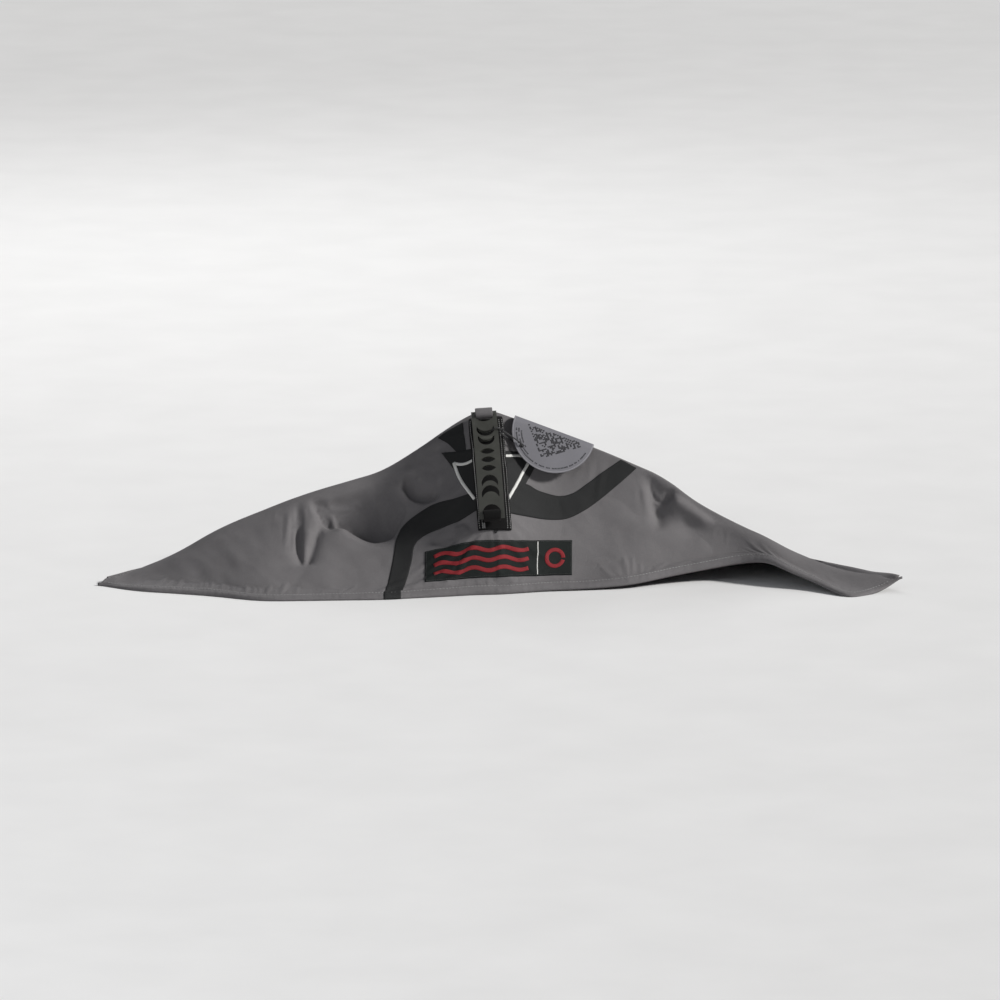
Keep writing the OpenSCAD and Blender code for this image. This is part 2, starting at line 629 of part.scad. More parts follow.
module swing_tag() {
    function rows(lift) = [for (i = [0:tag_rows]) let (a = mix(176, 4, i / tag_rows), half = tag_r * sin(a))
        [for (j = [0:tag_cols]) tag_point(tag_r * cos(a), tag_centre_s + mix(half, -half, j / tag_cols), lift)]];
    color("lightsteelblue") difference() {
        sheet(rows(tag_t), rows(0));
        at_tag_hole() cylinder(r = tag_hole_r, h = 6, center = true);
    }
}
// Printed block on the tag's front half: a square standing on its corner and cut off by the fold
print_t = 0.15;
PRINT = [[-23, 8], [-2, 33], [27.5, 8]];
module tag_print() {
    color("black") at_tag() rotate([tag_front_slope, 0, 0]) translate([0, tag_bend_half, tag_bend_r + tag_t + 0.03])
        linear_extrude(print_t) polygon([for (q = PRINT) [q[0], -q[1]]]);
}

// Points of the handle's frame, in the part's frame
function handle_point(a, p) =
    let (q = turn_x([p[0], p[1], p[2] + grip_r], -a) + [0, grip_shift, arch_z])
    handle_at + turn_x(turn_z(q, grip_lean), handle_slope);

// Elastic string: round the grip's right rail, and through the tag's hole
string_r = 0.8;
string_angle = 14.5;
rail_x = 12;
rail_z = -2.2;
rail_loop_r = 5.2;
function rail_loop(t) =
    handle_point(string_angle, [rail_x + rail_loop_r * cos(t), 0, rail_z + rail_loop_r * sin(t)]);
string_path = concat([for (t = [40:20:320]) rail_loop(t)],
    [tag_point(tag_hole[0] - 18, tag_hole[1] - 4, -2.6),
        tag_point(tag_hole[0] - 8, tag_hole[1] - 2, -2.4),
        tag_point(tag_hole[0] - 2.6, tag_hole[1], -2.2),
        tag_point(tag_hole[0] - 0.6, tag_hole[1], -1.5),
        tag_point(tag_hole[0], tag_hole[1], 2.4),
        tag_point(tag_hole[0] - 1.6, tag_hole[1] - 0.4, 4),
        tag_point(tag_hole[0] - 8, tag_hole[1] - 3, 4.6),
        rail_loop(0)]);
module tag_cord() {
    color("black") swept(string_path, round_outline(string_r, 6));
}

// ---- waist tunnel -------------------------------------------------------------------------
wall_t = 1;
module at_tunnel(z = 0) translate([0, tunnel_y, z]) children();
seam_half_h = 2.4;
module tunnel_seam() {
    color("darkslategray") at_tunnel(tunnel_base_z - seam_half_h)
        rotate_extrude($fn = 96) translate([tunnel_r - 1, 0]) square([2, 2 * seam_half_h - 0.2]);
}
// Slumped wall: shallow folds stacked on the seam
function reversed(list) = [for (i = [len(list) - 1:-1:0]) list[i]];
fold_count = 3;
fold_depth = 2.4;
wall_z = tunnel_base_z + seam_half_h;
function fold_points(shift) = [for (k = [0:2 * fold_count])
    [tunnel_r + shift + fold_depth * sin(90 * k), k * tunnel_slump_h / (2 * fold_count)]];
module tunnel_wall() {
    color("dimgray") at_tunnel(wall_z) rotate_extrude($fn = 96)
        polygon(concat(fold_points(wall_t / 2), reversed(fold_points(-wall_t / 2))));
}
top_z = wall_z + tunnel_slump_h + gap;
top_h = 11;
top_w = 7.6;
top_skin = 0.9;
cord_centre_z = top_z + top_h / 2;
tail_x = 3.4;
tail_slope = 24;
tail_hole_r = 2.1;
eyelet_r = 3.1;
module at_tail() translate([0, tunnel_y + tunnel_r, cord_centre_z]) rotate([-tail_slope, 0, 0]) children();
module along_tail() rotate([-90, 0, 0]) children();
module tunnel_hem() {
    color("gray") difference() {
        at_tunnel(top_z) rotate_extrude($fn = 96) difference() {
            translate([tunnel_r - top_w / 2, 0]) square([top_w, top_h]);
            translate([tunnel_r - top_w / 2 + top_skin, top_skin]) square([top_w, top_h] - 2 * top_skin * [1, 1]);
        }
        for (s = [-1, 1]) at_tail() translate([s * tail_x, 0, 0]) along_tail() cylinder(r = tail_hole_r, h = 20);
    }
}
eyelet_at = 5.8;
module tunnel_eyelets() {
    color("goldenrod") for (s = [-1, 1]) at_tail() translate([s * tail_x, eyelet_at, 0]) along_tail() difference() {
        cylinder(r = eyelet_r, h = 1.2);
        translate([0, 0, -1]) cylinder(r = tail_hole_r - 0.2, h = 4);
    }
}
drawcord_r = drawcord_d / 2;
tail_length = 72;
ring_gap = asin(tail_x / tunnel_r);
module tunnel_drawcord() {
    color("black") {
        at_tunnel(cord_centre_z) rotate([0, 0, 90 + ring_gap])
            rotate_extrude(angle = 360 - 2 * ring_gap, $fn = 96) translate([tunnel_r, 0]) circle(r = drawcord_r);
        for (s = [-1, 1]) at_tail() translate([s * tail_x, 0, 0]) {
            sphere(r = drawcord_r);
            along_tail() cylinder(r = drawcord_r, h = tail_length);
        }
    }
}
module tunnel_cord_ends() {
    color("black") for (s = [-1, 1]) at_tail()
        translate([s * tail_x, tail_length - 8, 0]) along_tail() cord_end(drawcord_r, 10);
}
tunnel_lock_at = 34;
module at_tunnel_lock() at_tail() translate([0, tunnel_lock_at, 0]) children();

front_panel();
rear_deck();
front_hem();
rear_hem();
ridge_tape();
shock_cord();
rim_cord_ends();
at_rim_lock() lock_barrel(rim_tail_x, rim_cord_r);  // rim_lock_barrel
at_rim_lock() lock_button(rim_tail_x, rim_cord_r);  // rim_lock_button
at_rim_lock() lock_spring();  // rim_lock_spring
deck_stay();
stay_caps();
stay_pockets();
stay_loop();
stay_straps();
accent_band_left();
accent_band_right();
accent_band_upper();
centre_panel();
pale_outline();
badge_base();
badge_motif();
badge_divider();
handle_base();
handle_grip();
handle_loop(-1);  // handle_loop_lower
handle_loop(1);  // handle_loop_upper
swing_tag();
tag_print();
tag_cord();
tunnel_seam();
tunnel_wall();
tunnel_hem();
tunnel_drawcord();
tunnel_eyelets();
tunnel_cord_ends();
at_tunnel_lock() lock_barrel(tail_x, drawcord_r);  // tunnel_lock_barrel
at_tunnel_lock() lock_button(tail_x, drawcord_r);  // tunnel_lock_button
at_tunnel_lock() lock_spring();  // tunnel_lock_spring
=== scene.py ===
"""Looks of the kayak spray skirt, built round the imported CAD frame.

Lengths are in millimetres here and become metres when a mesh is made. The front face has coordinates
x (across) and w (up the face from its hem).
"""

import json
import math

import bmesh
import bpy
import numpy as np
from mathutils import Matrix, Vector, noise


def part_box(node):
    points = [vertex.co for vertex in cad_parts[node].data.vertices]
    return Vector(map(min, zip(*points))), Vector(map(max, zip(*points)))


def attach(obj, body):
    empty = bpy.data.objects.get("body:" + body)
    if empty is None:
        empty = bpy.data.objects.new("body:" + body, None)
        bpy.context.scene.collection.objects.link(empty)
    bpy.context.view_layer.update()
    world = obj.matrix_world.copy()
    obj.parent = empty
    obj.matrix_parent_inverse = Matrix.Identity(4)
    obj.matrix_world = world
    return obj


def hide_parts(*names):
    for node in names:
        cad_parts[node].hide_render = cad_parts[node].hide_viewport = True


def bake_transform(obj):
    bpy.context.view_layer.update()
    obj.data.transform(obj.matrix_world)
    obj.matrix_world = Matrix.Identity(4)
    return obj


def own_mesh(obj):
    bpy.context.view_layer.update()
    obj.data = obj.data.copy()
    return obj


MM = 0.001
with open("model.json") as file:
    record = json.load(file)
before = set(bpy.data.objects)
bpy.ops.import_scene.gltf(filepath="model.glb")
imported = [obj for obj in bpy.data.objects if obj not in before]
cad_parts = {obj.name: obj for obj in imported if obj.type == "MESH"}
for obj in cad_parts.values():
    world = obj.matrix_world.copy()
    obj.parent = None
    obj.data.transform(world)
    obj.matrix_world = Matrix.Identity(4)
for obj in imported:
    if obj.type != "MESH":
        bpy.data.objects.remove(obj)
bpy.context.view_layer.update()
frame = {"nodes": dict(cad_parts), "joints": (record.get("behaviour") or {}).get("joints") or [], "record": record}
NODES = frame["nodes"]
JOINTS = {j["name"]: j for j in frame["joints"]}


# ---- small helpers ------------------------------------------------------------------------
def box(node):
    """The lowest and the highest corner of a CAD node, in millimetres."""
    return [np.array(corner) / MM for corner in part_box(node)]


def smooth(t):
    """0 to 1 with level ends."""
    t = np.clip(t, 0.0, 1.0)
    return t * t * (3 - 2 * t)


def mix(a, b, t):
    """From a to b by the share t."""
    return a + (b - a) * t


def unit(v):
    """Vectors of length 1."""
    v = np.asarray(v, float)
    return v / np.maximum(np.linalg.norm(v, axis=-1, keepdims=True), 1e-9)


def around(ring):
    """The steps from the point before to the point after, on closed rows of points."""
    return np.roll(ring, -1, 0) - np.roll(ring, 1, 0)


def distances(line):
    """How far along the line each of its points lies."""
    return np.concatenate([[0], np.cumsum(np.linalg.norm(np.diff(line, axis=0), axis=1))])


def curve_through(points, steps=8):
    """A smooth line through the points, with the given number of steps between two of them."""
    p = np.asarray(points, float)
    line = []
    for i in range(len(p) - 1):
        a, b, c, d = p[max(i - 1, 0)], p[i], p[i + 1], p[min(i + 2, len(p) - 1)]
        for k in range(steps):
            t = k / steps
            line.append(0.5 * (2 * b + (c - a) * t + (2 * a - 5 * b + 4 * c - d) * t * t
                               + (3 * b - a - 3 * c + d) * t ** 3))
    line.append(p[-1])
    return np.array(line)


def resample(line, step):
    """The line with points at an even spacing of about step."""
    line = np.asarray(line, float)
    along = distances(line)
    count = max(int(round(along[-1] / step)), 2)
    at = np.linspace(0, along[-1], count + 1)
    return np.stack([np.interp(at, along, line[:, k]) for k in range(line.shape[1])], axis=1)


def soft_noise(x, y, scale, seed=0.0, octaves=2):
    """Smooth noise between about -1 and 1 for arrays of coordinates."""
    x, y = np.broadcast_arrays(np.asarray(x, float), np.asarray(y, float))
    out = np.zeros(x.shape)
    flat = out.ravel()
    for i, (a, b) in enumerate(zip(x.ravel(), y.ravel())):
        flat[i] = noise.fractal(Vector((a / scale, b / scale, seed)), 0.6, 2.0, octaves)
    return flat.reshape(x.shape)


def make_object(name, verts, faces, look, body=None, replaces=(), slot=None, sharp=None):
    """A mesh piece from millimetre points. It rides on the body and stands for the CAD nodes.

    Look names its material. The slot argument is not used.
    """
    mesh = bpy.data.meshes.new(name)
    mesh.from_pydata([tuple(v) for v in np.asarray(verts, float) * MM], [], [tuple(f) for f in faces])
    work = bmesh.new()
    work.from_mesh(mesh)
    bmesh.ops.recalc_face_normals(work, faces=work.faces)
    work.to_mesh(mesh)
    work.free()
    mesh.shade_smooth()
    if sharp:
        mesh.set_sharp_from_angle(angle=math.radians(sharp))
    mesh.materials.append(MATERIALS[look])
    piece = bpy.data.objects.new(name, mesh)
    bpy.context.scene.collection.objects.link(piece)
    if body:
        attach(piece, body)
        slot or look
    if replaces:
        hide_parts(*replaces)
    return piece


def grid_faces(rows, cols, ring=False, closed=False):
    """Quads of a grid. Ring joins the last row to the first, closed the last column to the first."""
    faces = []
    for i in range(rows if ring else rows - 1):
        for j in range(cols if closed else cols - 1):
            a = i * cols + j
            b = i * cols + (j + 1) % cols
            c = ((i + 1) % rows) * cols + (j + 1) % cols
            d = ((i + 1) % rows) * cols + j
            faces.append((a, b, c, d))
    return faces


def shell(outer, inner, ring=False):
    """Points and faces of a closed sheet between two grids of points."""
    rows, cols = outer.shape[:2]
    verts = np.concatenate([outer.reshape(-1, 3), inner.reshape(-1, 3)])
    n = rows * cols
    faces = grid_faces(rows, cols, ring)
    faces += [tuple(i + n for i in f[::-1]) for f in faces]
    for i in range(rows if ring else rows - 1):
        a, b = i * cols, ((i + 1) % rows) * cols
        faces.append((a, b, b + n, a + n))
        faces.append((b + cols - 1, a + cols - 1, a + cols - 1 + n, b + cols - 1 + n))
    if not ring:
        for j in range(cols - 1):
            a, b = j, (rows - 1) * cols + j
            faces.append((a + 1, a, a + n, a + 1 + n))
            faces.append((b, b + 1, b + 1 + n, b + n))
    return verts, faces


def closed_bar(grid, ring=False):
    """Points and faces of a bar whose sections are the rows of the grid."""
    rows, cols = grid.shape[:2]
    faces = grid_faces(rows, cols, ring=ring, closed=True)
    if not ring:
        faces.append(tuple(range(cols))[::-1])
        faces.append(tuple((rows - 1) * cols + j for j in range(cols)))
    return grid.reshape(-1, 3), faces


def tube(path, outline, ring=False, up=(0, 0, 1)):
    """Points and faces of a solid bar. Outline is one section, or one for each point of the path."""
    path = np.asarray(path, float)
    outline = np.asarray(outline, float)
    if outline.ndim == 2:
        outline = np.broadcast_to(outline, (len(path),) + outline.shape)
    way = unit(around(path) if ring else np.gradient(path, axis=0))
    side = np.cross(way, np.asarray(up, float))
    weak = np.linalg.norm(side, axis=1) < 0.05
    side[weak] = (1, 0, 0)
    side = unit(side)
    top = np.cross(side, way)
    verts = path[:, None] + side[:, None] * outline[..., :1] + top[:, None] * outline[..., 1:2]
    return closed_bar(verts, ring)


def circle(radius, sides):
    """A round section."""
    a = np.arange(sides) * 2 * np.pi / sides
    return np.stack([radius * np.cos(a), radius * np.sin(a)], axis=1)


class Parts:
    """Collects several closed shapes into one piece."""

    def __init__(self):
        self.verts, self.faces, self.count = [], [], 0

    def add(self, verts, faces):
        self.verts.append(np.asarray(verts, float).reshape(-1, 3))
        self.faces += [tuple(i + self.count for i in f) for f in faces]
        self.count += len(self.verts[-1])

    def make(self, name, look, body, replaces=(), slot=None):
        return make_object(name, np.concatenate(self.verts), self.faces, look, body, replaces, slot)


# ---- materials ----------------------------------------------------------------------------
class Shader:
    """A node tree with short calls for what the materials share."""

    def __init__(self, name):
        self.material = bpy.data.materials.new(name)
        self.material.use_nodes = True
        self.tree = self.material.node_tree
        self.tree.nodes.clear()
        self.out = self.add("ShaderNodeOutputMaterial")
        self.bsdf = self.add("ShaderNodeBsdfPrincipled")
        self.link(self.bsdf.outputs[0], self.out.inputs[0])
        self.place = self.add("ShaderNodeTexCoord").outputs["Object"]

    def add(self, kind, **inputs):
        node = self.tree.nodes.new(kind)
        for key, value in inputs.items():
            setattr(node, key, value)
        return node

    def link(self, a, b):
        self.tree.links.new(a, b)

    def noise(self, scale, detail, rough, source=None):
        node = self.add("ShaderNodeTexNoise")
        node.inputs["Scale"].default_value = scale
        node.inputs["Detail"].default_value = detail
        node.inputs["Roughness"].default_value = rough
        self.link(source or self.place, node.inputs["Vector"])
        return node.outputs["Fac"]

    def wave(self, scale, direction, source=None):
        node = self.add("ShaderNodeTexWave", wave_type="BANDS", bands_direction=direction)
        node.inputs["Scale"].default_value = scale
        self.link(source or self.place, node.inputs["Vector"])
        return node.outputs["Fac"]

    def math(self, operation, a, b):
        node = self.add("ShaderNodeMath", operation=operation)
        for socket, value in zip(node.inputs, (a, b)):
            if isinstance(value, (int, float)):
                socket.default_value = value
            else:
                self.link(value, socket)
        return node.outputs[0]

    def turned(self, angles=(0, 0, 0), scale=(1, 1, 1)):
        node = self.add("ShaderNodeMapping")
        node.inputs["Rotation"].default_value = [math.radians(a) for a in angles]
        node.inputs["Scale"].default_value = scale
        self.link(self.place, node.inputs["Vector"])
        return node.outputs[0]

    def paint(self, value, stops):
        """The base colour by value: stops are (place, colour)."""
        node = self.add("ShaderNodeValToRGB")
        node.color_ramp.elements[0].position = stops[0][0]
        node.color_ramp.elements[0].color = (*stops[0][1], 1)
        node.color_ramp.elements[1].position = stops[-1][0]
        node.color_ramp.elements[1].color = (*stops[-1][1], 1)
        for place, colour in stops[1:-1]:
            node.color_ramp.elements.new(place).color = (*colour, 1)
        self.link(value, node.inputs[0])
        self.link(node.outputs[0], self.bsdf.inputs["Base Color"])

    def bump(self, height, strength, distance, base=None):
        node = self.add("ShaderNodeBump")
        node.inputs["Strength"].default_value = strength
        node.inputs["Distance"].default_value = distance * MM
        self.link(height, node.inputs["Height"])
        if base:
            self.link(base, node.inputs["Normal"])
        self.link(node.outputs[0], self.bsdf.inputs["Normal"])
        return node.outputs[0]

    def rough(self, value, low, high):
        node = self.add("ShaderNodeMapRange")
        node.inputs["To Min"].default_value = low
        node.inputs["To Max"].default_value = high
        self.link(value, node.inputs["Value"])
        self.link(node.outputs[0], self.bsdf.inputs["Roughness"])

    def sheen(self, weight, roughness=0.5):
        self.bsdf.inputs["Sheen Weight"].default_value = weight
        self.bsdf.inputs["Sheen Roughness"].default_value = roughness


def shade(colour, factor):
    """The colour, paler or darker by a factor."""
    return tuple(c * factor for c in colour)


def fabric_material(name, colour, weave=2400.0, roughness=(0.66, 0.84), mottle=0.12, sheen=0.06,
                    specular=0.3):
    """Coated woven cloth: two crossed thread directions, faint blotches and fine dust."""
    s = Shader(name)
    threads = s.math("MULTIPLY", s.wave(weave, "X", source=s.turned((0, 0, 8))),
                     s.wave(weave, "Z", source=s.turned((0, 8, 0))))
    blotch = s.noise(22.0, 4.0, 0.6)
    dust = s.noise(420.0, 3.0, 0.7)
    grain = s.math("MULTIPLY", s.noise(1500.0, 2.0, 0.8), 0.4)
    tone = s.math("ADD", s.math("MULTIPLY", blotch, 0.62), s.math("MULTIPLY", dust, 0.38))
    tone = s.math("ADD", tone, s.math("MULTIPLY", s.math("SUBTRACT", grain, 0.2), 0.5))
    s.paint(tone, [(0.3, shade(colour, 1 - mottle)), (0.5, colour), (0.72, shade(colour, 1 + mottle))])
    s.rough(dust, *roughness)
    creases = s.bump(s.noise(75.0, 5.0, 0.62), 0.35, 0.9)
    s.bump(s.math("ADD", threads, grain), 0.5, 0.12, creases)
    s.sheen(sheen)
    s.bsdf.inputs["Specular IOR Level"].default_value = specular
    return s.material


def crossed(s, pitch, mirror):
    """Two sets of slanted strands over each other."""
    scale = 1.0 / (pitch * 0.002)
    return s.math("MAXIMUM", s.wave(scale, "DIAGONAL"), s.wave(scale, "DIAGONAL", s.turned(scale=mirror)))


def webbing_material(name, colour):
    """Flat woven strap: a herringbone of thick yarns."""
    s = Shader(name)
    yarns = crossed(s, 1.3, (-1, 1, 1))
    fuzz = s.noise(900.0, 3.0, 0.7)
    s.paint(s.math("MULTIPLY", yarns, fuzz), [(0.05, shade(colour, 0.55)), (0.6, shade(colour, 1.5))])
    s.rough(fuzz, 0.65, 0.9)
    s.bump(s.math("ADD", yarns, s.math("MULTIPLY", fuzz, 0.5)), 0.8, 0.35)
    s.sheen(0.04, 0.6)
    s.bsdf.inputs["Specular IOR Level"].default_value = 0.12
    return s.material


def plastic_material(name, colour, wear=0.25):
    """Moulded plastic: fine spark-eroded grain, a paler tone where blotches of wear are and on worn convex edges,
    and painted shade in its concave creases.
    """
    s = Shader(name)
    grain = s.noise(1900.0, 2.0, 0.6)
    blotch = s.noise(60.0, 5.0, 0.65)
    pointy = s.add("ShaderNodeNewGeometry").outputs["Pointiness"]
    # Pointiness pales the convex edges as wear and darkens the concave creases as painted shade.
    edges = s.math("MULTIPLY", s.math("SUBTRACT", pointy, 0.5), 2.5)
    tone = s.math("ADD", blotch, edges)
    s.paint(tone, [(0.3, shade(colour, 0.82)), (0.6, colour), (0.95, shade(colour, 1 + 2 * wear))])
    s.rough(blotch, 0.36, 0.55)
    s.bump(grain, 0.45, 0.05)
    return s.material


def metal_material(name, colour, brushed=900.0):
    """Metal with fine lines along it."""
    s = Shader(name)
    lines = s.noise(brushed, 3.0, 0.6, s.turned(scale=(0.08, 1, 1)))
    s.bsdf.inputs["Metallic"].default_value = 1.0
    s.paint(lines, [(0.3, shade(colour, 0.8)), (0.7, colour)])
    s.rough(lines, 0.28, 0.42)
    s.bump(lines, 0.15, 0.03)
    return s.material


def card_material(name, colour):
    """Coated card: faint mottling and tiny fibres, slightly satin."""
    s = Shader(name)
    fibres = s.noise(700.0, 4.0, 0.7, s.turned((0, 0, 30), (1, 0.3, 1)))
    blotch = s.noise(40.0, 3.0, 0.5)
    tone = s.math("ADD", s.math("MULTIPLY", fibres, 0.5), s.math("MULTIPLY", blotch, 0.5))
    s.paint(tone, [(0.35, shade(colour, 0.94)), (0.65, shade(colour, 1.05))])
    s.rough(blotch, 0.42, 0.6)
    s.bump(fibres, 0.2, 0.04)
    return s.material


def ink_material(name, colour):
    """Printed ink with small specks."""
    s = Shader(name)
    speck = s.noise(1300.0, 2.0, 0.6)
    s.paint(speck, [(0.3, shade(colour, 0.7)), (0.75, shade(colour, 1.5))])
    s.rough(speck, 0.5, 0.75)
    s.bump(speck, 0.2, 0.03)
    return s.material


def cord_material(name, colour):
    """Braided elastic cord."""
    s = Shader(name)
    braid = crossed(s, 1.6, (-1, 1, -1))
    fuzz = s.noise(1100.0, 3.0, 0.7)
    s.paint(s.math("MULTIPLY", braid, fuzz), [(0.1, shade(colour, 0.6)), (0.55, shade(colour, 1.8))])
    s.rough(fuzz, 0.55, 0.8)
    s.bump(braid, 0.7, 0.3)
    s.sheen(0.15)
    return s.material


def floor_material(name, colour):
    """Smooth, pale and nearly even."""
    s = Shader(name)
    soft = s.noise(9.0, 3.0, 0.5)
    s.paint(soft, [(0.3, colour), (0.7, shade(colour, 0.83 / 0.80))])
    s.rough(soft, 0.85, 0.95)
    return s.material


GREY_CLOTH = (0.136, 0.130, 0.134)
FABRICS = {
    "deck_fabric": (GREY_CLOTH, {}),
    "hem_fabric": (GREY_CLOTH, {"mottle": 0.14}),
    "trim_dark": ((0.0205, 0.0210, 0.0215), {"mottle": 0.18, "sheen": 0.0, "specular": 0.2}),
    "trim_pale": ((0.66, 0.66, 0.64), {"roughness": (0.5, 0.65), "mottle": 0.06}),
    "badge_fabric": ((0.0075, 0.0105, 0.0098), {"weave": 1700.0, "mottle": 0.25, "sheen": 0.0,
                                                "specular": 0.2}),
    "badge_red": ((0.215, 0.013, 0.018), {"weave": 1700.0, "mottle": 0.14, "sheen": 0.0}),
    "seam_tape": ((0.045, 0.050, 0.055), {"roughness": (0.4, 0.55), "mottle": 0.1}),
    "thread_grey": ((0.19, 0.185, 0.19), {"weave": 3600.0, "sheen": 0.3}),
    "thread_pale": ((0.30, 0.30, 0.30), {"weave": 3600.0, "sheen": 0.3}),
    "thread_dark": ((0.035, 0.035, 0.037), {"weave": 3600.0, "sheen": 0.3}),
}
OTHERS = {
    "webbing": (webbing_material, (0.0022, 0.0020, 0.0021), {}),
    "grip_plastic": (plastic_material, (0.044, 0.045, 0.039), {}),
    "black_plastic": (plastic_material, (0.013, 0.013, 0.014), {"wear": 0.6}),
    "tag_card": (card_material, (0.155, 0.153, 0.170), {}),
    "tag_rim": (card_material, (0.235, 0.23, 0.25), {}),
    "tag_ink": (ink_material, (0.020, 0.020, 0.024), {}),
    "cord": (cord_material, (0.012, 0.012, 0.013), {}),
    "spring_steel": (metal_material, (0.56, 0.56, 0.57), {}),
    "stay_alloy": (metal_material, (0.62, 0.63, 0.65), {"brushed": 500.0}),
    "eyelet_brass": (metal_material, (0.50, 0.36, 0.15), {}),
    "floor": (floor_material, (0.80, 0.80, 0.80), {}),
}
MATERIALS = {name: fabric_material(name, colour, **options) for name, (colour, options) in FABRICS.items()}
MATERIALS.update({name: make(name, colour, **options) for name, (make, colour, options) in OTHERS.items()})


# ---- the deck's shape, read from the frame ------------------------------------------------
def cut_lines(node, xs):
    """For each x, where that plane cuts the edges of a CAD node's triangles, as (y, z) in millimetres."""
    mesh = NODES[node].data
    mesh.calc_loop_triangles()
    co = np.array([v.co for v in mesh.vertices], float) / MM
    tri = np.array([t.vertices for t in mesh.loop_triangles])
    sides = np.concatenate([tri[:, [0, 1]], tri[:, [1, 2]], tri[:, [2, 0]]])
    pairs = np.unique(np.sort(sides, axis=1), axis=0)
    a, b = co[pairs[:, 0]], co[pairs[:, 1]]
    found = []
    for x in xs:
        crossing = (a[:, 0] - x) * (b[:, 0] - x) <= 0
        p, q = a[crossing], b[crossing]
        run = q[:, 0] - p[:, 0]
        keep = np.abs(run) > 1e-6
        t = ((x - p[keep, 0]) / run[keep])[:, None]
        found.append((p[keep] + (q[keep] - p[keep]) * t)[:, 1:])
    return found


def ease(values, passes=3):
    """Takes the facets' corners out of values at even places."""
    v = np.array(values, float)
    for _ in range(passes):
        v[1:-1] = 0.25 * v[:-2] + 0.5 * v[1:-1] + 0.25 * v[2:]
    return v


class Face:
    """The front face between the hem line and the ridge line, as the CAD has it."""

    def __init__(self):
        lo, hi = box("front_hem")
        panel_lo, panel_hi = box("front_panel")
        self.left, self.right = lo[0] + 1.5, hi[0] - 1.0
        self.xs = np.arange(math.ceil(self.left), self.right, 4.0)
        hem = cut_lines("front_hem", self.xs)
        self.hem_y = ease([(h[:, 0].min() + h[:, 0].max()) / 2 for h in hem])
        self.hem_z = ease([h[:, 1].min() for h in hem])
        inside = (self.xs > panel_lo[0] + 2) & (self.xs < panel_hi[0] - 2)
        panel = cut_lines("front_panel", self.xs[inside])
        ridge_y, ridge_z, bow = [], [], []
        for x, line in zip(self.xs[inside], panel):
            top_point = line[line[:, 1] >= line[:, 1].max() - 0.8].mean(axis=0)
            ridge_y.append(top_point[0])
            ridge_z.append(top_point[1])
            foot = np.array([np.interp(x, self.xs, self.hem_y), np.interp(x, self.xs, self.hem_z)])
            chord = unit(top_point - foot)
            outward = np.array([-chord[1], chord[0]])
            span = np.linalg.norm(top_point - foot)
            along, off = (line - foot) @ chord, (line - foot) @ outward
            middle = np.abs(along / span - 0.5) < 0.09
            bow.append(off[middle].mean() if middle.any() else 0.0)
        self.ridge_y = ease(np.interp(self.xs, self.xs[inside], ridge_y))
        self.ridge_z = ease(np.interp(self.xs, self.xs[inside], ridge_z))
        self.bow = ease(np.interp(self.xs, self.xs[inside], bow), 4)
        self.pinch_tip(self.left, -1, panel_lo[0])
        self.pinch_tip(self.right, 1, panel_hi[0])
        self.length = np.hypot(self.ridge_y - self.hem_y, self.ridge_z - self.hem_z)

    def pinch_tip(self, tip, side, panel_end):
        """Beyond the panel's end the ridge line runs down to the tip of the hem."""
        beyond = (self.xs - panel_end) * side > -6
        share = smooth((self.xs[beyond] - panel_end + 6 * side) / (tip - panel_end + 6 * side)) * 0.93
        self.ridge_y[beyond] = mix(self.ridge_y[beyond], self.hem_y[beyond], share)
        self.ridge_z[beyond] = mix(self.ridge_z[beyond], self.hem_z[beyond] + 2.0, share)
        self.bow[beyond] *= 1 - share

    def at(self, x, v):
        """Points at x, a share v of the way up the face."""
        x, v = np.broadcast_arrays(np.asarray(x, float), np.asarray(v, float))
        a = np.stack([x, np.interp(x, self.xs, self.hem_y), np.interp(x, self.xs, self.hem_z)], axis=-1)
        b = np.stack([x, np.interp(x, self.xs, self.ridge_y), np.interp(x, self.xs, self.ridge_z)], axis=-1)
        chord = unit(b - a)
        out = np.stack([np.zeros_like(x), -chord[..., 2], chord[..., 1]], axis=-1)
        bow = np.interp(x, self.xs, self.bow) * 4 * v * (1 - v)
        return a + (b - a) * v[..., None] + out * bow[..., None]

    def tall(self, x):
        return np.interp(x, self.xs, self.length)


FACE = Face()


# ---- folds of the front face --------------------------------------------------------------
def near_line(x, w, line):
    """Distance to a line of (x, w) points, on which side of it, and the share of the line passed there."""
    best = np.full(np.shape(x), 1e9)
    side = np.zeros(np.shape(x))
    share = np.zeros(np.shape(x))
    line = np.asarray(line, float)
    for i in range(len(line) - 1):
        a, d = line[i], line[i + 1] - line[i]
        t = np.clip(((x - a[0]) * d[0] + (w - a[1]) * d[1]) / (d @ d), 0, 1)
        px, pw = x - a[0] - t * d[0], w - a[1] - t * d[1]
        gap = np.hypot(px, pw)
        closer = gap < best
        best = np.where(closer, gap, best)
        side = np.where(closer, np.sign(d[0] * pw - d[1] * px), side)
        share = np.where(closer, (i + t) / (len(line) - 1), share)
    return best, side, share


def faded(share, fade):
    """1 along a line, less towards its two ends."""
    return smooth(share / fade) * smooth((1 - share) / fade)


def crease(x, w, line, depth, above, below, fade=0.25, sharp=1.0):
    """A valley along a line of (x, w) points. Its walls run out over above and below millimetres: above is
    the side on the left of someone who walks the line. A higher sharp makes the bottom rounder."""
    gap, side, share = near_line(x, w, curve_through(line, 6))
    reach = np.where(side > 0, above, below)
    return -depth * np.exp(-((gap / reach) ** sharp)) * faded(share, fade)


def roll(x, w, line, height, above, below, fade=0.25):
    """A rounded ridge along a line."""
    return crease(x, w, line, -height, above, below, fade, 2.0)


def dish(x, w, centre, radii, depth, turn=0.0):
    """A broad hollow, or a swelling where depth is negative."""
    a = math.radians(turn)
    u = ((x - centre[0]) * math.cos(a) + (w - centre[1]) * math.sin(a)) / radii[0]
    v = ((w - centre[1]) * math.cos(a) - (x - centre[0]) * math.sin(a)) / radii[1]
    return -depth * np.exp(-(u * u + v * v))


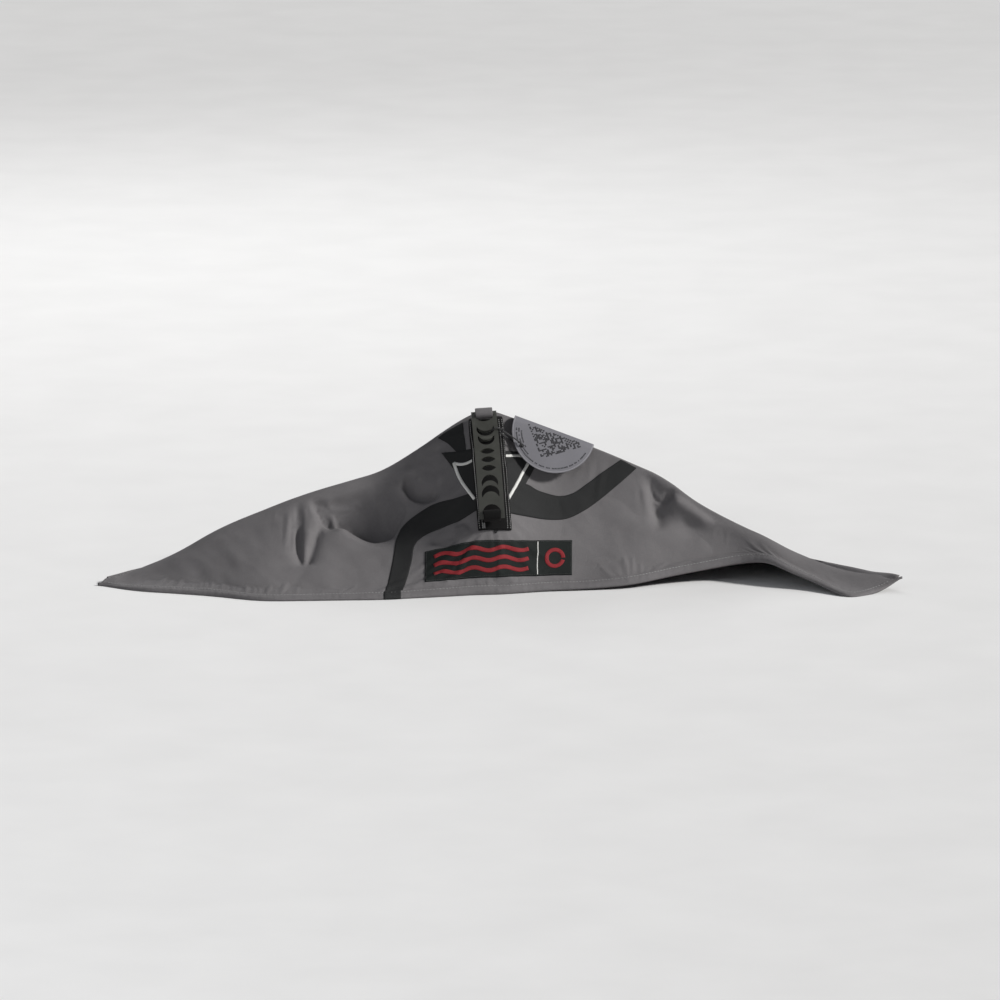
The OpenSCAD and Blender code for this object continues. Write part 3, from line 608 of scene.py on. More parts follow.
def left_dart(x, w):
    """The narrow V-shaped dart on the left, sunk between two arms that meet at its foot."""
    d = crease(x, w, [(-214, 152), (-213, 120), (-213, 93), (-207, 56)], 6.5, 3.5, 9, 0.18)
    d += crease(x, w, [(-186, 148), (-190, 120), (-196, 92), (-204, 56)], 6.5, 9, 4, 0.18)
    d += roll(x, w, [(-200, 112), (-203, 90), (-205, 66)], 2.2, 7, 7)
    return d + crease(x, w, [(-200, 60), (-213, 36), (-227, 12)], 1.3, 6, 8, 0.3)


HOLLOW_FOOT = [(-192, 141), (-178, 117), (-161, 121), (-152, 113), (-137, 101), (-121, 97), (-108, 100),
               (-97, 117), (-92, 140)]
HOLLOW_BROW = [(-198, 147), (-170, 150), (-152, 156), (-121, 166), (-88, 171), (-70, 166)]


def left_hollow(x, w):
    """The broad hollow under the left ridge: two steps falling to the left, from a brow to a sharp foot."""
    from_foot, foot_side, _ = near_line(x, w, curve_through(HOLLOW_FOOT, 6))
    from_brow, brow_side, _ = near_line(x, w, curve_through(HOLLOW_BROW, 6))
    wall = np.where(brow_side < 0, from_brow / (from_brow + from_foot + 1e-6), 0.0)
    profile = np.where(foot_side > 0, wall, np.exp(-from_foot / 4.0))
    slant = x + 0.4 * (w - 110)
    depth = np.interp(slant, (-194, -183, -168, -158, -100, -84), (0, 24, 11, 38, 8, 0))
    d = -depth * profile
    d += roll(x, w, [(-166, 144), (-150, 130), (-141, 117)], 3.0, 7, 6, 0.3)
    return d + roll(x, w, [(-112, 178), (-92, 162), (-80, 146)], 4.5, 9, 10, 0.3)


def handle_folds(x, w):
    """The puffs between the hollow and the handle."""
    d = roll(x, w, [(-88, 152), (-72, 144), (-52, 138)], 4.5, 9, 8)
    d += roll(x, w, [(-70, 186), (-58, 172), (-50, 158)], 2.5, 8, 8)
    d += crease(x, w, [(-99, 160), (-93, 145), (-86, 135), (-74, 128), (-56, 123)], 8, 10, 4, 0.2)
    return d + roll(x, w, [(-62, 78), (-48, 74), (-36, 72)], 2.5, 6, 6)


def right_folds(x, w):
    """The soft valley and the rolled pleat at the right, and the twist of the tail."""
    d = crease(x, w, [(176, 134), (181, 114), (185, 92), (190, 56)], 11, 11, 6, 0.2, 1.5)
    d += crease(x, w, [(192, 86), (200, 97), (212, 99), (228, 86), (244, 68), (262, 52)], 9, 7, 4, 0.15, 1.3)
    d += roll(x, w, [(196, 80), (208, 88), (220, 80), (236, 63), (258, 46)], 8, 5, 11)
    d += dish(x, w, (226, 52), (24, 12), 5, -30)
    return d + dish(x, w, (265, 40), (22, 24), 3)


def folds(x, w):
    """How far the cloth stands out of the CAD's face, in millimetres."""
    return left_dart(x, w) + left_hollow(x, w) + handle_folds(x, w) + right_folds(x, w)


def sharp_folds(x, w):
    """Thin creases, pressed into the finer grid after the cloth has settled."""
    d = crease(x, w, [(-99, 160), (-94, 147), (-87, 136), (-75, 129), (-57, 125)], 7, 5, 1.5, 0.2)
    d += crease(x, w, [(-40, 80), (-34, 84), (-27, 82), (-20, 71)], 3.5, 3, 2)
    d += crease(x, w, [(-70, 75), (-58, 65), (-49, 61), (-33, 65)], 4.0, 5, 1.6)
    d += crease(x, w, [(-213, 118), (-213, 93), (-207, 56)], 3.0, 1.8, 5, 0.2)
    d += crease(x, w, [(-190, 120), (-196, 92), (-204, 56)], 3.0, 5, 1.8, 0.2)
    d += crease(x, w, [(194, 88), (202, 98), (213, 99), (228, 87), (244, 69), (260, 54)], 3.5, 2.5, 5, 0.15)
    d += crease(x, w, [(60, 150), (82, 141), (104, 143)], 1.2, 4, 2)
    return d + crease(x, w, HOLLOW_FOOT[1:-1], 2.0, 5, 1.5, 0.15)


def soften(values):
    """Takes the grid's steps out of sharp changes."""
    padded = np.pad(values, 1, mode="edge")
    rows = 0.25 * padded[:-2] + 0.5 * padded[1:-1] + 0.25 * padded[2:]
    return 0.25 * rows[:, :-2] + 0.5 * rows[:, 1:-1] + 0.25 * rows[:, 2:]


def loose_folds(x, w):
    """Low swells and small crumples all over the cloth."""
    big = soft_noise(x * 0.8, w * 1.2, 95.0, 3.7)
    small = soft_noise(x + 0.5 * w, w * 0.7, 26.0, 9.1)
    return 3.4 * big + 0.75 * small


# ---- cloth simulation ---------------------------------------------------------------------
CLOTH_SETTINGS = {"quality": 6, "mass": 0.25, "air_damping": 1.5, "tension_stiffness": 12,
                  "compression_stiffness": 12, "shear_stiffness": 6, "bending_stiffness": 0.9}


def drape(goal, pin, ring=False, frames=14, growth=0.005, cap=3.0):
    """Lets a grid of points crumple as cloth, a little too large for its pinned edges, by cap at most."""
    rows, cols = goal.shape[:2]
    sheet = make_object("drape_work", goal.reshape(-1, 3), grid_faces(rows, cols, ring=ring), "deck_fabric")
    group = sheet.vertex_groups.new(name="pin")
    for i, weight in enumerate(pin.ravel()):
        if weight > 0:
            group.add([i], float(weight), "REPLACE")
    cloth = sheet.modifiers.new("cloth", "CLOTH")
    for key, value in CLOTH_SETTINGS.items():
        setattr(cloth.settings, key, value)
    cloth.settings.vertex_group_mass = "pin"
    cloth.settings.shrink_min = -growth
    cloth.settings.effector_weights.gravity = 0.25
    cloth.collision_settings.use_collision = False
    cloth.point_cache.frame_start = 1
    cloth.point_cache.frame_end = frames
    scene = bpy.context.scene
    for f in range(1, frames + 1):
        scene.frame_set(f)
    shaped = sheet.evaluated_get(bpy.context.evaluated_depsgraph_get())
    co = np.empty(rows * cols * 3)
    shaped.data.vertices.foreach_get("co", co)
    bpy.data.objects.remove(sheet)
    scene.frame_set(1)
    move = co.reshape(goal.shape) / MM - goal
    size = np.linalg.norm(move, axis=-1, keepdims=True)
    return goal + move * np.minimum(1.0, cap / np.maximum(size, 1e-6))


def doubled(grid, ring=False):
    """Twice the points along the grid's first axis, on smooth curves through the old ones."""
    if ring:
        padded = np.concatenate([grid[-1:], grid, grid[:2]])
    else:
        padded = np.concatenate([2 * grid[:1] - grid[1:2], grid, 2 * grid[-1:] - grid[-2:-1]])
    halves = (-padded[:-3] + 9 * padded[1:-2] + 9 * padded[2:-1] - padded[3:]) / 16
    out = np.empty((len(grid) + len(halves),) + grid.shape[1:])
    out[0::2] = grid
    out[1::2] = halves
    return out


def refine(grid, ring=False):
    """Twice the points each way. Ring is for rows that join up, the last to the first."""
    return doubled(doubled(grid, ring).swapaxes(0, 1)).swapaxes(0, 1)


def grid_normals(grid, ring=False):
    """The surface's direction at each point of a grid."""
    return unit(np.cross(around(grid) if ring else np.gradient(grid, axis=0), np.gradient(grid, axis=1)))


HEM_WIDE = 11.0
# The handle's middle in (x, w), how it leans, and the webbing sewn down under it
HANDLE_X, HANDLE_W, HANDLE_LEAN = 0.0, 139.0, math.tan(math.radians(4.3))
BASE_LOW, BASE_HIGH, BASE_WIDE = 71.0, 207.0, 36.0


class Cloth:
    """The finished front sheet: points over the hem-to-ridge grid, and places on it by (x, w)."""

    step = 3.0
    rows_up = 56

    def __init__(self):
        self.xs = np.linspace(FACE.left, FACE.right, int((FACE.right - FACE.left) / self.step) + 1)
        x, v = np.meshgrid(self.xs, np.linspace(0, 1, self.rows_up + 1), indexing="ij")
        w = v * FACE.tall(x)
        base = FACE.at(x, v)
        below_ridge = FACE.tall(x) - w
        room = smooth(w / 16) * smooth(below_ridge / 22)
        steepest = 0.42 * below_ridge
        shape = np.clip(soften(folds(x, w) + loose_folds(x, w)) * room, -steepest, steepest)
        sculpted = base + grid_normals(base) * shape[..., None]
        # The cloth is held along its edges, over the hem and under the handle
        under_handle = (np.abs(x + 2 + (w - HANDLE_W) * 0.075) < 16) & (w > BASE_LOW - 3)
        pin = np.where((w < HEM_WIDE) | under_handle, 1.0, 0.0)
        pin[:, -1], pin[0], pin[-1] = 1, 1, 1
        settled = smooth(below_ridge / 30)[..., None]
        fine = refine(mix(sculpted, drape(sculpted, pin), settled))
        x = np.broadcast_to(np.linspace(self.xs[0], self.xs[-1], fine.shape[0])[:, None], fine.shape[:2])
        w = np.linspace(0, 1, fine.shape[1])[None, :] * FACE.tall(x)
        room = smooth((w - 8) / 10) * smooth((FACE.tall(x) - w) / 14)
        self.grid = fine + grid_normals(fine) * (soften(sharp_folds(x, w)) * room)[..., None]
        self.normal = grid_normals(self.grid)

    def place(self, x, w, lift=0.0):
        """Points at (x, w), raised off the middle of the cloth by lift."""
        x, w = np.broadcast_arrays(np.asarray(x, float), np.asarray(w, float))
        n, m = self.grid.shape[:2]
        i = np.clip((x - self.xs[0]) / (self.xs[-1] - self.xs[0]), 0, 1) * (n - 1)
        j = np.clip(w / FACE.tall(x), -0.2, 1) * (m - 1)
        i0 = np.minimum(i.astype(int), n - 2)
        j0 = np.clip(j.astype(int), 0, m - 2)
        s, t = (i - i0)[..., None], (j - j0)[..., None]

        def read(g):
            return ((g[i0, j0] * (1 - s) + g[i0 + 1, j0] * s) * (1 - t)
                    + (g[i0, j0 + 1] * (1 - s) + g[i0 + 1, j0 + 1] * s) * t)
        return read(self.grid) + unit(read(self.normal)) * np.asarray(lift, float)[..., None]


CLOTH = Cloth()
CLOTH_HALF = 0.45


def padded_sheet(grid, out, ring=False):
    """Points and faces of cloth with its thickness, round a grid."""
    return shell(grid + out * CLOTH_HALF, grid - out * CLOTH_HALF, ring=ring)


def laid(x, w, low, high):
    """Points and faces of a sheet that lies on the front cloth, between two lifts."""
    return shell(CLOTH.place(x, w, high), CLOTH.place(x, w, low))


def tip_share(x):
    """1 along most of the hem, less towards the two tips."""
    return np.clip(np.minimum(x - FACE.left, FACE.right - x) / 46, 0.0, 1.0)


def front_sheet():
    """The cloth itself, rolled over a little at the ridge, where the seam is."""
    grid, normal = CLOTH.grid, CLOTH.normal
    rolled = [grid]
    top, top_normal = grid[:, -1:], normal[:, -1:]
    up = unit(grid[:, -1:] - grid[:, -3:-2])
    radius = np.minimum(2.4, 0.2 * FACE.tall(np.linspace(FACE.left, FACE.right, len(grid))))[:, None, None]
    for a in np.radians([25, 50, 75, 100, 125]):
        rolled.append(top - top_normal * radius * (1 - math.cos(a)) + up * radius * math.sin(a) * 0.55)
    whole = np.concatenate(rolled, axis=1)
    verts, faces = padded_sheet(whole, grid_normals(whole))
    make_object("front_cloth", verts, faces, "deck_fabric", "deck", ["front_panel"])


front_sheet()


# ---- stitches -----------------------------------------------------------------------------
# A stitch by (share of its length, swelling of the thread, lift)
STITCH = ((0, 0.45, -0.9), (0.16, 0.9, 0.15), (0.5, 1.0, 0.45), (0.84, 0.9, 0.15), (1, 0.45, -0.9))


def stitch(a, b, out, radius):
    """One stitch from a to b: a thread that dips into the cloth at both ends."""
    a, b, out = np.asarray(a), np.asarray(b), unit(out)
    path, outlines = [], []
    for t, swell, lift in STITCH:
        path.append(mix(a, b, t) + out * radius * lift)
        outlines.append(circle(radius * swell, 6))
    return tube(path, outlines, up=out)


def stitch_row(parts, line, out, pitch=3.6, fill=0.72, radius=0.36):
    """Stitches along a dense line of points; out is the surface's direction at each point."""
    line, out = np.asarray(line, float), np.asarray(out, float)
    along = distances(line)

    def at(values, s):
        return np.array([np.interp(s, along, values[:, k]) for k in range(3)])
    for k in range(int(along[-1] / pitch)):
        s = k * pitch
        parts.add(*stitch(at(line, s), at(line, s + pitch * fill), at(out, s), radius))


def ring_stitches(parts, ring, out):
    """A row of stitches along a closed line."""
    stitch_row(parts, np.vstack([ring, ring[:1]]), np.vstack([out, out[:1]]))


def face_line_stitches(parts, line, lift, **options):
    """A row of stitches along (x, w) points on the front cloth."""
    line = resample(line, 1.5)
    points = CLOTH.place(line[:, 0], line[:, 1], lift)
    out = unit(CLOTH.place(line[:, 0], line[:, 1], lift + 1.0) - points)
    stitch_row(parts, points, out, **options)


# ---- hems ---------------------------------------------------------------------------------
HEM_BAND = (-117.5, -98.0)
# Hem section by (w, lift): the outer ply's edge, down its bulged front, round the fold, and up the back
HEM_SECTION = np.array([[11, 0.5], [11.1, 1.05], [10.6, 1.25], [8.8, 1.3], [7.0, 1.8], [4.6, 2.5], [2.4, 2.5],
                        [0.6, 1.7], [-0.4, 0.4], [-0.2, -1.4], [1.2, -2.8], [3.8, -3.4], [6.8, -2.4],
                        [9.2, -1.2], [11, -0.9], [11, -0.3]])


def band_over_hem(xs, grid):
    """The left band runs on over the hem and round its fold."""
    part = grid[(xs > HEM_BAND[0]) & (xs < HEM_BAND[1]), :9]
    out = grid_normals(part)
    out *= np.sign(-out[..., 1:2].mean())
    make_object("band_left_on_hem", *shell(part + out * 0.5, part + out * 0.06), "trim_dark", "deck")


def hem_height(xs):
    """The hem's height, which shrinks towards the tips."""
    return np.minimum(HEM_WIDE * (0.55 + 0.45 * smooth(tip_share(xs))), 0.78 * FACE.tall(xs))


def front_hem():
    """The folded hem: outer ply, bulge over the cord, fold at the foot and the back ply."""
    xs = np.linspace(FACE.left, FACE.right, 620)
    tall = hem_height(xs)
    thick = 0.3 + 0.7 * smooth(tip_share(xs))
    gather = 0.10 * soft_noise(xs, 0 * xs, 13.0, 5.5) + 0.02 * np.sin(xs * 2 * np.pi / 7.2)
    rings = []
    for w, lift in HEM_SECTION:
        bulge = 1 + gather * (1.6 if 2 < w < 9 else 0.5)
        p = CLOTH.place(xs, np.maximum(w, 0) * tall / HEM_WIDE, lift * thick * bulge)
        if w < 0:
            p += (CLOTH.place(xs, 0 * xs) - CLOTH.place(xs, 0 * xs + 2)) * 0.2
        rings.append(p)
    grid = np.stack(rings, axis=1)
    floor = np.interp(xs, FACE.xs, FACE.hem_z)
    grid[..., 2] = np.maximum(grid[..., 2], floor[:, None] + 0.05)
    verts, faces = closed_bar(grid)
    make_object("front_hem_cloth", verts, faces, "hem_fabric", "deck", ["front_hem"])
    band_over_hem(xs, grid)
    threads = Parts()
    inner = xs[tip_share(xs) > 0.25]
    face_line_stitches(threads, np.stack([inner, hem_height(inner) * 0.83], axis=1), 1.35, radius=0.3)
    threads.make("front_hem_stitches", "thread_pale", "deck", slot="hem_fabric")


front_hem()


# ---- trim, badge and webbing on the front face --------------------------------------------
def at_shares(line, t):
    """The line's points at shares t of its own count of points."""
    own = np.linspace(0, 1, len(line))
    return np.stack([np.interp(t, own, line[:, k]) for k in range(2)], axis=1)


def band(name, node, low_edge, high_edge, columns):
    """A dark strip between two (x, w) edges, laid on the draped cloth."""
    edges = [curve_through(e, 12) for e in (low_edge, high_edge)]
    longest = max(distances(e)[-1] for e in edges)
    t = np.linspace(0, 1, int(longest / 1.6) + 1)
    a, b = (at_shares(e, t) for e in edges)
    k = np.linspace(0, 1, columns + 1)[None, :, None]
    plan = a[:, None] * (1 - k) + b[:, None] * k
    verts, faces = laid(plan[..., 0], plan[..., 1], BAND_LIFT, BAND_LIFT + BAND_THICK)
    make_object(name, verts, faces, "trim_dark", "deck", [node])


def ribbon(line, width, lift, thick, columns=2, rounded=0.0):
    """Points and faces of a strip of even width along a line of (x, w) points, laid on the draped cloth."""
    line = resample(line, 1.6)
    way = unit(np.gradient(line, axis=0))
    across = np.stack([way[:, 1], -way[:, 0]], axis=1)
    k = np.linspace(-0.5, 0.5, columns + 1)
    plan = line[:, None] + across[:, None] * (k * width)[None, :, None]
    edge = rounded * (np.abs(k) * 2) ** 6
    return laid(plan[..., 0], plan[..., 1], lift, lift + thick - edge)


BAND_LIFT = CLOTH_HALF + 0.12
BAND_THICK = 0.35


def bands():
    """The dark bands, welded on flat."""
    band("band_left", "accent_band_left",
         [(-116, 9), (-108, 57), (-103, 91), (-93, 106), (-66, 116), (-38, 115), (-20, 116)],
         [(-96.5, 9), (-87, 51), (-83.5, 71), (-72, 80), (-52, 84), (-33, 88), (-6, 98)], 14)
    band("band_right", "accent_band_right",
         [(20, 126), (40, 126), (54, 118), (76, 112), (92, 115), (108, 125), (126, 137), (146, 148)],
         [(10, 93), (38, 88), (61, 84), (84, 85), (101, 92), (117, 102), (140, 119), (163, 135)], 18)
    band("band_upper", "accent_band_upper",
         [(-58, 195), (-48, 200), (-30, 206)], [(-46, 184), (-38, 172), (-26, 160)], 18)


PANEL_LIFT = BAND_LIFT + BAND_THICK + 0.1


def centre_triangle():
    """The dark inverted triangle behind the handle, its top edge sagging a little towards the middle."""
    left, right, apex = np.array([-54, 175]), np.array([60, 164]), np.array([6.5, 66])
    t = np.linspace(0, 0.985, 56)[:, None, None]
    k = np.linspace(0, 1, 56)[None, :, None]
    plan = mix(mix(left, right, k), apex, t)
    dip = -3.0 * np.sin(np.pi * k[..., 0]) * (1 - t[..., 0])
    plan[..., 1] += dip
    verts, faces = laid(plan[..., 0], plan[..., 1], BAND_LIFT, PANEL_LIFT + BAND_THICK)
    make_object("centre_triangle", verts, faces, "trim_dark", "deck", ["centre_panel"])


OUTLINE_LIFT = PANEL_LIFT + BAND_THICK + 0.05


def pale_lines():
    """The thin pale outline in the triangle, in pieces that run under the handle's webbing."""
    parts = Parts()
    for line in ([(-17, 156), (-26, 154), (-33, 155), (-41, 159)],
                 [(-41, 160), (-36, 143), (-29, 128), (-17, 108)],
                 [(17, 102), (27, 121), (35, 137), (44, 154)],
                 [(15, 159), (28, 160), (43, 159)]):
        parts.add(*ribbon(curve_through(line), 3.2, OUTLINE_LIFT, 0.2))
    parts.make("pale_lines", "trim_pale", "deck", ["pale_outline"])


def badge():
    """The rectangular badge: a dark cloth base with a stitched edge, red waves, a ring and a divider."""
    x0, x1, low, high = -72.0, 91.0, 19.0, 60.0
    lift, thick = BAND_LIFT, 0.9
    xs, ws = np.linspace(x0, x1, 110), np.linspace(low, high, 30)
    x, w = np.meshgrid(xs, ws, indexing="ij")
    edge = np.minimum(np.minimum(x - x0, x1 - x), np.minimum(w - low, high - w))
    drop = 0.4 * np.exp(-edge / 0.5)
    verts, faces = laid(x, w, lift, lift + thick - drop)
    make_object("badge_cloth", verts, faces, "badge_fabric", "deck", ["badge_base"])
    top = lift + thick
    red = Parts()
    middle = (low + high) / 2
    for k in (-1, 0, 1):
        t = np.linspace(0, 1, 120)
        line = np.stack([mix(x0 + 10, x0 + 114, t), middle + 11 * k + 2 * np.sin(t * 6 * np.pi)], axis=1)
        red.add(*ribbon(line, 4.6, top, 0.35, 4, 0.15))
    turn = np.linspace(0, 1.92 * np.pi, 60)
    ring = np.stack([x0 + 143.5 + 9.5 * np.cos(turn), middle + 9.5 * np.sin(turn)], axis=1)
    red.add(*ribbon(ring, 4.4, top, 0.35, 4, 0.15))
    red.make("badge_waves", "badge_red", "deck", ["badge_motif"])
    line = [(x0 + 124, low + 1.5), (x0 + 124, high - 1.5)]
    make_object("badge_line", *ribbon(line, 0.9, top, 0.25), "trim_pale", "deck", ["badge_divider"])
    threads = Parts()
    inset = 1.3
    frame_line = [(x0 + inset, low + inset), (x1 - inset, low + inset), (x1 - inset, high - inset),
                  (x0 + inset, high - inset), (x0 + inset, low + inset)]
    face_line_stitches(threads, frame_line, top, pitch=2.4, radius=0.25)
    threads.make("badge_stitches", "thread_dark", "deck", slot="badge_fabric")


BASE_LIFT = OUTLINE_LIFT + 0.3
BASE_THICK = 1.7


def base_point(across, w):
    """(x, w) on the handle's webbing, across from its middle line."""
    w = np.asarray(w, float)
    return np.stack([HANDLE_X + across - (w - HANDLE_W) * HANDLE_LEAN, w], axis=-1)


def handle_webbing():
    """Black webbing under the grip: two rows of stitches along each edge, and a bar tack at its foot."""
    ws = np.linspace(BASE_LOW, BASE_HIGH, 90)
    ks = np.linspace(-0.5, 0.5, 25)
    plan = np.stack([base_point(k * BASE_WIDE, ws) for k in ks], axis=1)
    edge = (0.5 - np.abs(ks))[None, :] * BASE_WIDE
    end = np.minimum(ws - BASE_LOW, BASE_HIGH - ws)[:, None]
    drop = 0.7 * np.exp(-edge / 0.6) + 0.6 * np.exp(-end / 0.7)
    top = BASE_LIFT + BASE_THICK
    verts, faces = laid(plan[..., 0], plan[..., 1], BAND_LIFT, top - drop)
    make_object("handle_webbing", verts, faces, "webbing", "deck", ["handle_base"])
    threads = Parts()
    for across in (-16.0, -13.0, 13.2, 16.2):
        face_line_stitches(threads, base_point(across, np.linspace(BASE_LOW + 2, BASE_HIGH - 2, 80)), top,
                           pitch=2.5, fill=0.55, radius=0.45)
    for w in np.arange(BASE_LOW + 2.0, BASE_LOW + 8.0, 0.9):
        line = np.array([base_point(a, w) for a in (-13.0, -9.5)])
        face_line_stitches(threads, line, top, pitch=1.8, fill=0.8, radius=0.35)
    threads.make("handle_stitches", "thread_pale", "deck", slot="webbing")


def inner_tape():
    """Tape welded over the ridge seam from inside."""
    xs = np.arange(-345, 296, 1.45)
    ws = FACE.tall(xs)[:, None] - np.linspace(17.5, 1.5, 12)[None, :]
    verts, faces = laid(xs[:, None], ws, -CLOTH_HALF - 0.5, -CLOTH_HALF - 0.05)
    make_object("seam_tape_inside", verts, faces, "seam_tape", "deck", ["ridge_tape"])


bands()
centre_triangle()
pale_lines()
badge()
handle_webbing()
inner_tape()


# ---- the rear of the deck -----------------------------------------------------------------
CORD_GAP = 17.0
CORD_HIGH = 5.2


def rear_hem_line():
    """The rear hem's middle and foot as (x, y, z), from left to right, closed across the gap and the tips."""
    lo, hi = box("rear_hem")
    gap = CORD_GAP + 2
    xs = np.concatenate([np.arange(lo[0] + 3, -gap, 5.0), np.arange(gap, hi[0] - 3, 5.0)])
    found = cut_lines("rear_hem", xs)
    line = np.array([(x, (c[:, 0].min() + c[:, 0].max()) / 2, c[:, 1].min()) for x, c in zip(xs, found)])
    left = FACE.at(FACE.left, 1.0) + np.array([0, 1.5, -1.5])
    right = FACE.at(FACE.right, 1.0) + np.array([0, 1.0, -1.5])
    every = np.arange(FACE.left, FACE.right + 0.1, 3.0)
    whole = np.vstack([left, line, right])
    y = ease(np.interp(every, whole[:, 0], whole[:, 1]), 4)
    z = ease(np.interp(every, whole[:, 0], whole[:, 2]), 4)
    return np.stack([every, y, z], axis=1)


REAR_LINE = rear_hem_line()


def rear_line(x, rise=0.0):
    """Points on the rear hem's line at x, raised by rise."""
    y, z = (np.interp(x, REAR_LINE[:, 0], REAR_LINE[:, k]) for k in (1, 2))
    return np.stack([x, y, z + rise], axis=-1)


SEAM_LO, SEAM_HI = box("tunnel_seam")
TUNNEL_Y = (SEAM_LO[1] + SEAM_HI[1]) / 2
TUNNEL_R = (SEAM_HI[0] - SEAM_LO[0]) / 2 - 1
SEAM_Z = (SEAM_LO[2] + SEAM_HI[2]) / 2


def around_tunnel(radius, angle, z):
    """Points round the tunnel's middle line."""
    x, y, z = np.broadcast_arrays(radius * np.cos(angle), TUNNEL_Y + radius * np.sin(angle), z)
    return np.stack([x, y, z], axis=-1)


def rear_sheet():
    """The rear deck from the ridge and the rear hem in to the tunnel's seam, with slack folds."""
    half = 210
    along = np.linspace(0, 1, half, endpoint=False)
    ridge_x = mix(FACE.left + 3, FACE.right - 3, along)
    front = FACE.at(ridge_x, 1.0) + np.array([0, 1.6, -1.1])
    back_x = mix(FACE.right - 3, FACE.left + 3, along)
    back = rear_line(back_x, mix(4.0, 10.6, smooth(tip_share(back_x))))
    outer = np.concatenate([front, back])
    angle = np.concatenate([np.pi + np.pi * along, np.pi * along])
    reach = TUNNEL_R + 0.8
    inner = around_tunnel(reach, angle, SEAM_Z)
    v = np.linspace(0, 1, 46)[None, :, None]
    sag = np.concatenate([np.full(half, -6.0), np.full(half, 5.0)])
    for _ in range(30):
        sag = 0.25 * np.roll(sag, 1) + 0.5 * sag + 0.25 * np.roll(sag, -1)
    grid = mix(outer[:, None], inner[:, None], v)
    swell = 4 * v[..., 0] * (1 - v[..., 0])
    grid[..., 2] += swell * sag[:, None]
    turn = np.arange(2 * half) / (2 * half) * 2 * np.pi
    span = np.linalg.norm(outer - inner, axis=1)
    pleats = np.zeros(grid.shape[:2])
    for count, size, phase in ((9, 1.0, 0.4), (17, 0.7, 2.1), (31, 0.4, 4.2)):
        pleats += size * np.sin(count * turn[:, None] + phase + 2.2 * v[..., 0])
    crumple = soft_noise(grid[..., 0], grid[..., 1], 60.0, 14.2)
    room = swell * np.minimum(1.0, span / 160)[:, None]
    loose = grid + upward_normals(grid) * ((1.7 * pleats + 3.2 * crumple) * room)[..., None]
    pin = np.zeros(grid.shape[:2])
    pin[:, 0], pin[:, 1], pin[:, -1] = 1, 1, 1
    points = refine(drape(loose, pin, ring=True), ring=True)
    out = upward_normals(points)
    make_object("rear_cloth", *padded_sheet(points, out, ring=True), "deck_fabric", "deck", ["rear_deck"])
    return points, out


def upward_normals(grid):
    """Upward normals of a grid whose rows form a ring."""
    n = grid_normals(grid, ring=True)
    return n * np.sign(n[..., 2:3].mean())


REAR, REAR_OUT = rear_sheet()


def rear_stitches():
    """Two rows of stitches: one behind the ridge seam, one round the tunnel's seam."""
    threads = Parts()
    rows = len(REAR)
    ridge = slice(20, rows // 2 - 20)
    steps = np.linalg.norm(np.diff(REAR[:, :8], axis=1), axis=2).cumsum(axis=1)
    line, out = [], []
    for i in range(rows)[ridge]:
        j = int(np.clip(np.searchsorted(steps[i], 5.0), 1, 7))
        line.append(REAR[i, j] + REAR_OUT[i, j] * CLOTH_HALF)
        out.append(REAR_OUT[i, j])
    stitch_row(threads, line, out)
    ring_stitches(threads, REAR[:, -5] + REAR_OUT[:, -5] * CLOTH_HALF, REAR_OUT[:, -5])
    threads.make("rear_stitches", "thread_grey", "deck", slot="deck_fabric")


rear_stitches()


def gathered(along, amount, seed):
    """Small puckers along an elastic hem."""
    return 1 + amount * (soft_noise(along, 0 * along, 8.0, seed) + 0.7 * np.sin(along * 2 * np.pi / 7.8))


def mirrored(half_section):
    """A section from its half on the right: the left half follows in the opposite order."""
    half_section = np.array(half_section, float)
    left = half_section[::-1] * (-1, 1)
    return np.concatenate([half_section, left[left[:, 0] < 0]])


# The casing's section, in shares of its half width and its height
CASING = mirrored([(0.7, 0.02), (1, 0.18), (1.02, 0.4), (0.86, 0.62), (0.5, 0.76), (0.28, 0.9), (0.2, 1.0)])


def rear_hem():
    """The rear hem: a gathered casing round the cord, open where its two tails come out."""
    casing, threads = Parts(), Parts()
    lo, hi = box("rear_hem")
    for a, b in ((lo[0] + 0.5, -CORD_GAP), (CORD_GAP, hi[0] - 0.5)):
        xs = np.linspace(a, b, 900)
        line = resample(rear_line(xs), 1.3)
        share = smooth(tip_share(line[:, 0]))
        tall = 11.0 * mix(0.55, 1, share)
        wide = 3.8 * mix(0.7, 1, share)
        half_wide = wide * gathered(np.arange(len(line)) * 1.3, 0.10, 21.3)
        casing.add(*tube(line, CASING[None] * np.stack([half_wide, tall], axis=1)[:, None]))
        right = unit(np.cross(unit(np.gradient(line, axis=0)), (0, 0, 1)))
        for side in (-1, 1):
            row = line + right * (side * 0.47 * half_wide)[:, None]
            row[:, 2] += tall * 0.79
            stitch_row(threads, row, right * side + np.array([0, 0, 0.9]))
    casing.make("rear_hem_cloth", "hem_fabric", "deck", ["rear_hem"])
    threads.make("rear_hem_stitches", "thread_grey", "deck", slot="hem_fabric")


rear_hem()


